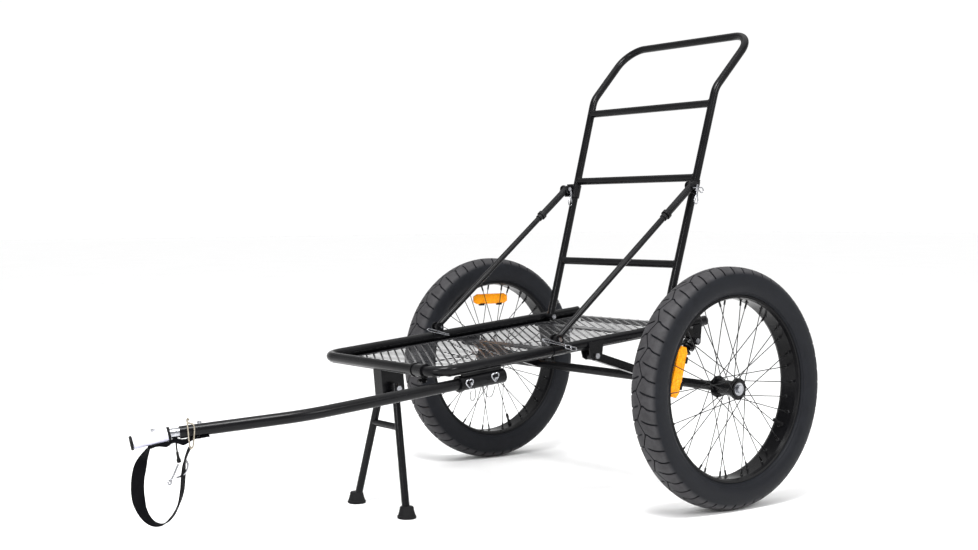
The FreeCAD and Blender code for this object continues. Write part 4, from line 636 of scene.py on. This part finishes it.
def make_deck_mesh():
    """Expanded metal: diamonds between slanted strands.

    A corner's first two values are its place in the diamond's quarter, and the last is the opening's
    share of the way out to it."""
    corners = list(OPENING_QUARTER)
    corners += [(-x, y, share) for x, y, share in corners[2::-1]]
    corners += [(x, -y, share) for x, y, share in corners[5:0:-1]]
    count = len(corners)
    columns = int((DECK_REAR - DECK_FRONT) / DIAMOND_SHORT * 2) + 1
    rows = int(2 * MESH_HALF_WIDTH / DIAMOND_LONG) + 1
    points, faces = [], []
    for column in range(columns):
        middle_along = DECK_FRONT + column * DIAMOND_SHORT / 2
        for row in range(-rows, rows + 1):
            middle_y = (row + (0.5 if column % 2 else 0.0)) * DIAMOND_LONG
            if abs(middle_y) > MESH_HALF_WIDTH - 0.002:
                continue
            first = len(points)
            for level in (0.5, -0.5):
                for inner in (False, True):
                    for x, y, share in corners:
                        size = share if inner else 1.0
                        along = middle_along + x * size * DIAMOND_SHORT / 2
                        across = middle_y + y * size * DIAMOND_LONG / 2
                        across = max(-MESH_HALF_WIDTH, min(MESH_HALF_WIDTH, across))
                        rise = STRAND_LEAN * x if inner else 0.0
                        points.append(deck_spot(along, across, level * STRAND_THICK + rise))
            outer_top, inner_top, outer_low, inner_low = (first + count * number for number in range(4))
            rings = (outer_top, inner_top, inner_low, outer_low)
            for index in range(count):
                after = (index + 1) % count
                for ring, next_ring in zip(rings, rings[1:]):
                    faces.append((ring + index, ring + after, next_ring + after, next_ring + index))
    mesh = mesh_piece("expanded_deck", points, faces, "deck_paint", "frame", sharp_angle=30)
    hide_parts("bed_deck")


def add_plate(points, faces, low, high, up_low, up_high):
    """Adds a flat bar in the bed's plane with its edges broken."""
    broken = min(0.0006, (up_high - up_low) * 0.3)
    first = len(points)
    for up, inset in ((up_low, broken), (up_low + broken, 0), (up_high - broken, 0), (up_high, broken)):
        front, rear = low[0] + inset, high[0] - inset
        near, far = low[1] + inset, high[1] - inset
        for along, across in ((front, near), (rear, near), (rear, far), (front, far)):
            points.append(deck_spot(along, across, up))
    faces.extend(tuple(first + i for i in face) for face in grid_faces(4, 4))
    faces.append(tuple(first + i for i in (3, 2, 1, 0)))
    faces.append(tuple(first + i for i in (12, 13, 14, 15)))


def make_deck_edges():
    """The plain metal round the mesh: under the rails, at both ends, the cross strips and the rear lip."""
    points, faces = [], []
    half = STRAND_THICK * 0.9
    under_rail = DECK_DROP - RAIL_RADIUS + 0.0001
    for sign in (-1, 1):
        inner, outer = sorted((sign * SIDE_PLATE_INNER, sign * RAIL_LANE))
        add_plate(points, faces, (BED_FRONT + 0.03, inner), (DECK_REAR, outer), -half, under_rail)
    add_plate(points, faces, (BED_FRONT, -FRONT_PLATE_HALF_WIDTH),
              (BED_FRONT + FRONT_PLATE_REACH, FRONT_PLATE_HALF_WIDTH), -half, under_rail)
    add_plate(points, faces, (DECK_REAR - REAR_BAR_REACH, -REAR_BAR_HALF_WIDTH),
              (DECK_REAR + 0.0005, REAR_BAR_HALF_WIDTH), -half, half)
    for along in CROSS_STRIPS:
        add_plate(points, faces, (along - STRIP_HALF_LENGTH, -STRIP_HALF_WIDTH),
                  (along + STRIP_HALF_LENGTH, STRIP_HALF_WIDTH), -half, half)
    add_plate(points, faces, (DECK_REAR, -STRIP_HALF_WIDTH), (DECK_REAR + LIP_THICK, STRIP_HALF_WIDTH),
              -LIP_DROP, half)
    mesh_piece("deck_edges", points, faces, "deck_paint", "frame")


# ---------------------------------------------------------------- wheel trim
REFLECTOR_LENGTH, REFLECTOR_HEIGHT, REFLECTOR_THICK = 0.112, 0.027, 0.006
REFLECTOR_CIRCLE = 0.158
WHEEL_MARKS = {"near": (163.5, -29), "far": (90, -71)}
RIM_CROWN = 0.1972
SPOKES_PER_FLANGE = 18
SPOKE_CROSSING = 60
EYELET_LANE = 0.007
EYELET_PROFILE = ((0.0004, 0.0048), (-0.0008, 0.0043), (-0.0014, 0.0034), (-0.0012, 0.0024))


def wheel_directions(degrees):
    """Outward and tangent unit vectors of a wheel at an angle."""
    angle = math.radians(degrees)
    return Vector((math.cos(angle), 0, math.sin(angle))), Vector((-math.sin(angle), 0, math.cos(angle)))


def prism_piece(name, outline, half_thick, bevel, place, material, body):
    """A moulded plate: an outline in its own (length, height) plane, crowned and bevelled on both faces."""
    points = []
    count = len(outline)
    middle = sum((Vector(spot) for spot in outline), Vector((0, 0))) / count
    for level, inset in ((-1.0, 3.0), (-1.0, 1.0), (-0.6, 0.0), (0.6, 0.0), (1.0, 1.0), (1.0, 3.0)):
        crown = 0.0003 if inset == 3.0 else 0.0
        across = math.copysign(half_thick * abs(level) + crown, level)
        for spot in outline:
            x, z = Vector(spot) + (middle - Vector(spot)).normalized() * bevel * inset
            points.append(place(x, across, z))
    faces = grid_faces(6, count)
    faces.append(tuple(range(count))[::-1])
    faces.append(tuple(range(5 * count, 6 * count)))
    return mesh_piece(name, points, faces, material, body, sharp_angle=50)


def make_reflector(side):
    """A prismatic lens with cut corners, and the two clips that hold it to the spokes."""
    radial, tangent = wheel_directions(WHEEL_MARKS[side][0])
    middle = wheel_centre(side) + radial * REFLECTOR_CIRCLE
    half, high = REFLECTOR_LENGTH / 2, REFLECTOR_HEIGHT / 2

    def place(along, across, up):
        return middle + tangent * along + Vector((0, across, 0)) + radial * up

    lower = [(-half, -high * 0.55), (-half * 0.8, -high), (half * 0.8, -high), (half, -high * 0.55)]
    upper = [(-x, -z) for x, z in lower]
    lens = prism_piece(f"reflector_lens_{side}", lower + upper, REFLECTOR_THICK / 2, 0.0009, place, "amber",
                       f"wheel_{side}")
    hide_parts(f"reflector_{side}")
    for number, shift in enumerate((-half * 0.52, half * 0.52)):
        clip = [(shift - 0.007, -high - 0.004), (shift + 0.007, -high - 0.004),
                (shift + 0.008, -high + 0.002), (shift - 0.008, -high + 0.002)]
        prism_piece(f"reflector_clip_{side}_{number}", clip, REFLECTOR_THICK * 0.75, 0.0006, place,
                    "soft_rubber", f"wheel_{side}")


def make_valve(side):
    """A rubber-covered stem with a threaded neck and a dust cap."""
    radial, _ = wheel_directions(WHEEL_MARKS[side][1])
    base = wheel_centre(side) + radial * (RIM_CROWN - 0.0005)
    profile = [(0.0, 0.0055), (0.0015, 0.0055), (0.003, 0.0042), (0.012, 0.0036), (0.0125, 0.0026)]
    for turn in range(5):
        start = 0.0125 + turn * 0.001
        profile += [(start + 0.0003, 0.0024), (start + 0.0007, 0.0027)]
    profile += [(0.018, 0.0024), (0.0182, 0.0036), (0.019, 0.0038), (0.0275, 0.0036), (0.0292, 0.0028),
                (0.0296, 0.001)]
    stem = lathe(f"valve_{side}", base, -radial, profile, "soft_rubber", f"wheel_{side}", 20)
    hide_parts(f"valve_stem_{side}")


def make_rim_eyelets(side):
    """The pressed seats where the spokes' nipples meet the rim."""
    points, faces = [], []
    steps = 12
    spacing = 360 / SPOKES_PER_FLANGE
    for flange in (-1, 1):
        for index in range(SPOKES_PER_FLANGE):
            turn = SPOKE_CROSSING if index % 2 == 0 else -SPOKE_CROSSING
            radial, tangent = wheel_directions((index + (0.5 if flange > 0 else 0)) * spacing + turn)
            seat = wheel_centre(side) + radial * RIM_CROWN + Vector((0, flange * EYELET_LANE, 0))
            first = len(points)
            for height, size in EYELET_PROFILE:
                for step in range(steps):
                    around = 2 * math.pi * step / steps
                    out = tangent * math.cos(around) + Vector((0, math.sin(around), 0))
                    points.append(seat + radial * height + out * size)
            faces += [tuple(first + i for i in face) for face in grid_faces(len(EYELET_PROFILE), steps)]
            faces.append(tuple(first + i for i in range(steps)))
            faces.append(tuple(first + 3 * steps + i for i in range(steps))[::-1])
    mesh_piece(f"rim_eyelets_{side}", points, faces, "dark_steel", f"wheel_{side}")


# ---------------------------------------------------------------- shock springs
SPRING_RADIUS, SPRING_WIRE, SPRING_TURNS = 0.014, 0.0026, 5
SPRING_START, SPRING_CLEAR = 0.019, 0.0004
SPRING_CLOSED_ENDS = 0.03
PERCH_FROM_FOOT = 0.021


def make_spring(side):
    """A coil whose end turns close up against the perches; it rides on the shock's upper body."""
    top = at(SHOCK_TOP[0], SIDES[side] * RAIL_LANE, SHOCK_TOP[1])
    span = at(SHOCK_FOOT[0], SIDES[side] * RAIL_LANE, SHOCK_FOOT[1]) - top
    unit, first_axis, second_axis = axes_of(span)
    start = SPRING_START + SPRING_WIRE + SPRING_CLEAR
    stop = span.length - PERCH_FROM_FOOT - SPRING_WIRE - SPRING_CLEAR
    steps, section = 40 * SPRING_TURNS, 12
    points = []
    for step in range(steps + 1):
        share = step / steps
        height = start + (stop - start) * (share - SPRING_CLOSED_ENDS * math.sin(4 * math.pi * share))
        angle = 2 * math.pi * SPRING_TURNS * share
        radial = first_axis * math.cos(angle) + second_axis * math.sin(angle)
        for corner in range(section):
            around = 2 * math.pi * corner / section
            points.append(top + unit * (height + SPRING_WIRE * math.sin(around))
                          + radial * (SPRING_RADIUS + SPRING_WIRE * math.cos(around)))
    faces = grid_faces(steps + 1, section)
    faces.append(tuple(range(section))[::-1])
    faces.append(tuple(range(steps * section, (steps + 1) * section)))
    spring = mesh_piece(f"spring_{side}", points, faces, "black_plating", f"shock_upper_{side}")
    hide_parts(f"shock_spring_{side}")
    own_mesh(spring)
    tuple(unit)


# ---------------------------------------------------------------- kickstand feet
FOOT_RADIUS = 0.021
FOOT_PROFILE = (
    (0.0, 0.0185), (0.0012, 0.0205), (0.004, 0.0209), (0.0062, 0.0203), (0.0072, 0.0188), (0.010, 0.0184),
    (0.0108, 0.0178), (0.0135, 0.0174), (0.0143, 0.0168), (0.017, 0.0164), (0.0178, 0.0158),
    (0.0235, 0.0150), (0.0255, 0.0135), (0.026, 0.0105),
)


def make_feet():
    """Moulded rubber feet: a ribbed skirt, a rounded tread edge and a sleeve up the leg."""
    low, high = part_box("kickstand_feet")
    for side, sign in SIDES.items():
        base = Vector(((low.x + high.x) / 2, sign * (high.y - FOOT_RADIUS), 0))
        foot = lathe(f"foot_{side}", base, (0, 0, 1), FOOT_PROFILE, "soft_rubber", "kickstand",
                     40)
        if side == "near":
            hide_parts("kickstand_feet")


# ---------------------------------------------------------------- welds
WELD_BEAD = 0.0017
WELD_SCALLOP = 0.16


def add_weld(points, faces, centre, branch, main, branch_radius, main_radius):
    """Adds a scalloped bead where a round branch tube meets a round main tube."""
    branch = Vector(branch).normalized()
    main = Vector(main).normalized()
    side = branch.cross(main).normalized()
    up = side.cross(branch).normalized()
    steps, section = 72, 6
    first = len(points)
    for step in range(steps):
        around = 2 * math.pi * step / steps
        sideways = branch_radius * math.sin(around)
        out = math.sqrt(max(main_radius**2 - sideways**2, 0.0))
        spot = centre + branch * out + side * sideways + up * branch_radius * math.cos(around)
        radial = (side * math.sin(around) + up * math.cos(around)).normalized()
        size = WELD_BEAD * (1 + WELD_SCALLOP * math.sin(step * math.pi / 2))
        for corner in range(section):
            turn = 2 * math.pi * corner / section
            points.append(spot + (radial * math.cos(turn) + branch * math.sin(turn)) * size)
    faces += [tuple(first + i for i in face) for face in grid_faces(steps, section, close_rows=True)]


def rail_height(x):
    return RAIL_HEIGHT + x * math.tan(BED_TILT)


def upright_point(sign, height):
    """The middle of one of the handle's uprights at a height below its bend."""
    foot = rail_height(HANDLE_PIVOT_X)
    share = (height - foot) / (HANDLE_BEND[1] - foot)
    x = HANDLE_PIVOT_X + (HANDLE_BEND[0] - HANDLE_PIVOT_X) * share
    slant = math.hypot(HANDLE_BEND[0] - HANDLE_PIVOT_X, HANDLE_BEND[1] - foot)
    top = math.hypot(HANDLE_TOP[0] - HANDLE_BEND[0], HANDLE_TOP[1] - HANDLE_BEND[1])
    flare = (HANDLE_TOP_HALF_WIDTH - HANDLE_HALF_WIDTH) / (slant + top)
    return at(x, sign * (HANDLE_HALF_WIDTH + flare * slant * share), height)


def make_welds():
    """The beads at both ends of each rung."""
    points, faces = [], []
    for height in RUNG_HEIGHTS:
        for sign in (-1, 1):
            centre = upright_point(sign, height)
            main = upright_point(sign, height + 0.05) - centre
            add_weld(points, faces, centre, (0, -sign, 0), main, RUNG_RADIUS, HANDLE_RADIUS)
    mesh_piece("rung_welds", points, faces, "powder_coat", "handle", sharp_angle=80)


# ---------------------------------------------------------------- strap and lanyards
STRAP_WIDTH, STRAP_THICK = 0.025, 0.0024
STRAP_ROUTE = [
    (-1.238, -0.1295, 0.215), (-1.246, -0.127, 0.2015), (-1.254, -0.124, 0.183), (-1.2605, -0.122, 0.151),
    (-1.2595, -0.1225, 0.1165), (-1.251, -0.1255, 0.0885), (-1.235, -0.1305, 0.068),
    (-1.2145, -0.1375, 0.0635), (-1.1985, -0.143, 0.0775), (-1.186, -0.147, 0.101), (-1.1795, -0.1495, 0.130),
    (-1.178, -0.1495, 0.1615), (-1.1755, -0.1505, 0.189), (-1.1655, -0.154, 0.211),
]
STRAP_TWIST = (
    (0.0, 86), (0.08, 50), (0.14, 18), (0.2, 0), (0.29, 12), (0.36, 50), (0.43, 66), (0.5, 77), (0.57, 77),
    (0.66, 88), (0.74, 80), (0.84, 79), (0.92, 89), (1.0, 80),
)
TETHER_ROUTE = [
    (-1.1905, -0.145, 0.2215), (-1.1895, -0.145, 0.208), (-1.187, -0.146, 0.195), (-1.1845, -0.1465, 0.182),
]
TETHER_RADIUS = 0.0016
BOOT_ENDS = ((-1.1887, -0.1455, 0.2025), (-1.1850, -0.1464, 0.1815))
BOOT_PROFILE = (
    (0.0, 0.0018), (0.001, 0.0026), (0.008, 0.0028), (0.0125, 0.0030), (0.0145, 0.0042), (0.0195, 0.0044),
    (0.0212, 0.0036), (0.0215, 0.0018),
)
LANYARD_RADIUS = 0.0008
LANYARD_ROUTES = {
    "front": [
        (-0.566, -0.247, 0.284), (-0.570, -0.2475, 0.274), (-0.567, -0.247, 0.264), (-0.559, -0.245, 0.262),
        (-0.551, -0.242, 0.269), (-0.548, -0.238, 0.280), (-0.547, -0.233, 0.288),
    ],
    "rear": [
        (-0.503, -0.247, 0.291), (-0.507, -0.2475, 0.279), (-0.512, -0.247, 0.268), (-0.520, -0.245, 0.266),
        (-0.526, -0.242, 0.273), (-0.527, -0.238, 0.284), (-0.526, -0.234, 0.292),
    ],
}


def line_length(points):
    return sum((after - before).length for before, after in zip(points, points[1:]))


def ribbon(name, line, width, facing_of, thick, material, body):
    """Flat tape along a line: facing_of gives its crosswise direction at a share of its length."""
    total = line_length(line)
    half = width / 2
    across_steps = 6
    outline = [(-1 + 2 * step / across_steps, 1) for step in range(across_steps + 1)]
    outline += [(1 - 2 * step / across_steps, -1) for step in range(across_steps + 1)]
    points, lengths = [], []
    travelled = 0.0
    for index, spot in enumerate(line):
        before, after = line[max(index - 1, 0)], line[min(index + 1, len(line) - 1)]
        forward = (after - before).normalized()
        if index:
            travelled += (spot - line[index - 1]).length
        across = facing_of(travelled / total)
        across = (across - forward * across.dot(forward)).normalized()
        face = forward.cross(across)
        for side, top in outline:
            edge = 0.55 if abs(side) == 1 else 1.0
            points.append(spot + across * side * half + face * top * thick / 2 * edge)
            lengths.append((travelled, side * half))
    count = len(outline)
    faces = grid_faces(len(line), count)
    faces.append(tuple(range(count))[::-1])
    faces.append(tuple(range((len(line) - 1) * count, len(line) * count)))
    tape = mesh_piece(name, points, faces, material, body, sharp_angle=60)
    measure = tape.data.uv_layers.new(name="tape")
    for loop in tape.data.loops:
        measure.data[loop.index].uv = lengths[loop.vertex_index]
    return tape


def make_strap():
    """The webbing loop below the hitch: wide face outward on its front leg, edge-on along the rest."""
    line = smooth_line([at(*spot) for spot in STRAP_ROUTE], 12)
    outward = Vector((math.cos(CAMERA_AZIMUTH), math.sin(CAMERA_AZIMUTH), 0))
    inward = Vector((-math.sin(CAMERA_AZIMUTH), math.cos(CAMERA_AZIMUTH), 0))

    def painted_shade_and_scuffs(share):
        angle = math.radians(float(np.interp(share, *zip(*STRAP_TWIST))))
        return outward * math.cos(angle) + inward * math.sin(angle)

    strap = ribbon("strap_loop", line, STRAP_WIDTH, painted_shade_and_scuffs, STRAP_THICK, "webbing", "frame")
    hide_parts("tow_strap")
    tuple(line[0])
    line_length(line)
    [tuple(spot) for spot in line]


def make_lanyards():
    """The tether under the hitch with its moulded boot, and the coated wires at the receiver."""
    points = [at(*spot) for spot in TETHER_ROUTE]
    line = smooth_line(points)
    tether = wire("tether", points, TETHER_RADIUS, "lanyard_jacket", "frame")
    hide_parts("hitch_tether")
    top, foot = (at(*spot) for spot in BOOT_ENDS)
    boot = lathe("tether_boot", top, foot - top, BOOT_PROFILE, "soft_rubber", "frame", 20)
    tuple(line[0])
    line_length(line)
    for name, route in LANYARD_ROUTES.items():
        points = [at(*spot) for spot in route]
        lanyard = wire(f"lanyard_{name}", points, LANYARD_RADIUS, "lanyard_jacket", "frame")
        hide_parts(f"receiver_lanyard_{name}")
        tuple(points[0])
        line_length(smooth_line(points))


# ---------------------------------------------------------------- wire clips
CLIP_RADIUS = 0.0013
HITCH_CLIP_RADIUS = 0.0019
SNAP_HOOK_RADIUS = 0.0015
HITCH_ACROSS = Vector((0.9483, -0.3173, 0))
RAIL_ALONG = lean((1, 0, 0))
HAIRPIN_ALONG = Vector((0.985, 0, -0.17))
HEART = (
    (0, -9), (-6, -3), (-10, 3), (-8, 7), (-3, 9), (1, 7), (4, 9.5), (9, 6.5), (9, 0), (4, -4), (1, -9.5),
)
HEART_PLACES = {"front": (-0.574, -0.253, 0.2995), "rear": (-0.507, -0.253, 0.309)}
HAIRPIN = (
    (34, -1.5), (15, 0), (-10, 1), (-28, 2), (-33, 5), (-27, 8), (-8, 6), (8, 4), (22, 2.5), (33, 1.5),
)
HAIRPIN_PLACES = {"near": (-0.340, -0.2455, 0.370), "far": (-0.333, 0.205, 0.3635)}
LINK = (
    (-9, 0), (-8, 3.5), (0, 4), (8, 3.5), (9, 0), (8, -3.5), (0, -4), (-8, -3.5), (-9.2, -0.4),
)
LINK_START, LINK_STEP = (-0.300, -0.2465, 0.3605), (0.0145, 0, -0.0045)
HITCH_CLIP_PLACE = (-1.1925, -0.145, 0.162)
HITCH_PIN = (
    (5.5, 17), (2, 8), (-6, -10), (-9, -13), (-13, -15), (-14.5, -19), (-11, -22), (-7.5, -19), (-8, -14),
)
HITCH_BOW = ((20, 24), (24, 19), (24.5, 10), (20, 0), (12, -6), (2, -9))
SADDLE_LOOP = (
    (0, 0), (2, -12), (-3, -20), (-8, -28), (-5, -37), (2, -38), (5, -30), (3, -20), (4, -8), (2, 1),
)
SADDLE_PLACES = {"near": (0.0965, -0.2435, 0.7125), "far": (0.0965, 0.2105, 0.7125)}
SNAP_HOOK_PLACE = (-1.1740, -0.1743, 0.2385)
SNAP_HOOK = (
    (-6, 26), (-6.5, 22), (-4.5, 8), (-4, -5), (-2.5, -15), (-1, -27), (3, -28), (5.5, -20), (6.5, -6),
    (7.5, 6), (7, 17), (2, 20), (-4, 21), (-7, 24), (-6.5, 29), (-4.5, 30), (-3, 26),
)


def flat_wire(name, middle, across, outline, material, radius=CLIP_RADIUS, body="frame"):
    """Wire bent in one upright plane: outline lists (sideways, up) in millimetres from its middle."""
    points = [at(*middle) + across * (side / 1000) + Vector((0, 0, up / 1000)) for side, up in outline]
    return wire(name, points, radius, material, body)


def make_clips():
    """Clips on the receiver's and braces' pins, and the wires that hang at the hitch and the saddles."""
    clips = []
    for end, middle in HEART_PLACES.items():
        clips.append(flat_wire(f"heart_clip_{end}", middle, RAIL_ALONG, HEART, "bright_zinc"))
    for side, middle in HAIRPIN_PLACES.items():
        clips.append(flat_wire(f"hairpin_{side}", middle, HAIRPIN_ALONG, HAIRPIN, "bright_zinc"))
    for number in range(2):
        middle = [start + step * number for start, step in zip(LINK_START, LINK_STEP)]
        clips.append(flat_wire(f"chain_link_{number}", middle, HAIRPIN_ALONG, LINK, "bright_zinc"))
    for name, outline in (("hitch_clip", HITCH_PIN), ("hitch_bow", HITCH_BOW)):
        clips.append(flat_wire(name, HITCH_CLIP_PLACE, HITCH_ACROSS, outline, "bearing_steel",
                               HITCH_CLIP_RADIUS))
    for clip in clips:
        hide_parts("lock_clips")
    for side, middle in SADDLE_PLACES.items():
        flat_wire(f"saddle_loop_{side}", middle, Vector((1, 0, 0)), SADDLE_LOOP, "bright_zinc",
                  body="handle")
    hook = flat_wire("snap_hook_wire", SNAP_HOOK_PLACE, HITCH_ACROSS, SNAP_HOOK, "tan_steel",
                     SNAP_HOOK_RADIUS)
    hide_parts("snap_hook")


# ---------------------------------------------------------------- floor
FLOOR_HALF = 40.0


def make_floor():
    corners = [(x * FLOOR_HALF, y * FLOOR_HALF, 0) for x, y in ((-1, -1), (1, -1), (1, 1), (-1, 1))]
    data = bpy.data.meshes.new("floor")
    data.from_pydata(corners, [], [(0, 1, 2, 3)])
    made, tree, shader, place = new_material("floor_white")
    white = ramp_between(tree, noise(tree, place, 1.5), 0.3, 0.7, (0.93, 0.93, 0.93), (0.95, 0.95, 0.95))
    tree.links.new(white, shader.inputs["Base Color"])
    shader.inputs["Roughness"].default_value = 0.85
    shader.inputs["Specular IOR Level"].default_value = 0.15
    data.materials.append(made)
    floor = bpy.data.objects.new("floor", data)
    bpy.context.scene.collection.objects.link(floor)


# ---------------------------------------------------------------- the scene
make_camera()
make_world()
for lamp_name, lamp_settings in SOFTBOXES.items():
    make_softbox(lamp_name, **lamp_settings)
make_floor()
bpy.context.scene.view_settings.view_transform = "Standard"

make_strap()
make_lanyards()
make_clips()
paint_frame()
for side_name in SIDES:
    make_tyre(side_name)
    make_reflector(side_name)
    make_valve(side_name)
    make_rim_eyelets(side_name)
    make_spring(side_name)
make_deck_mesh()
make_deck_edges()
make_feet()
make_welds()
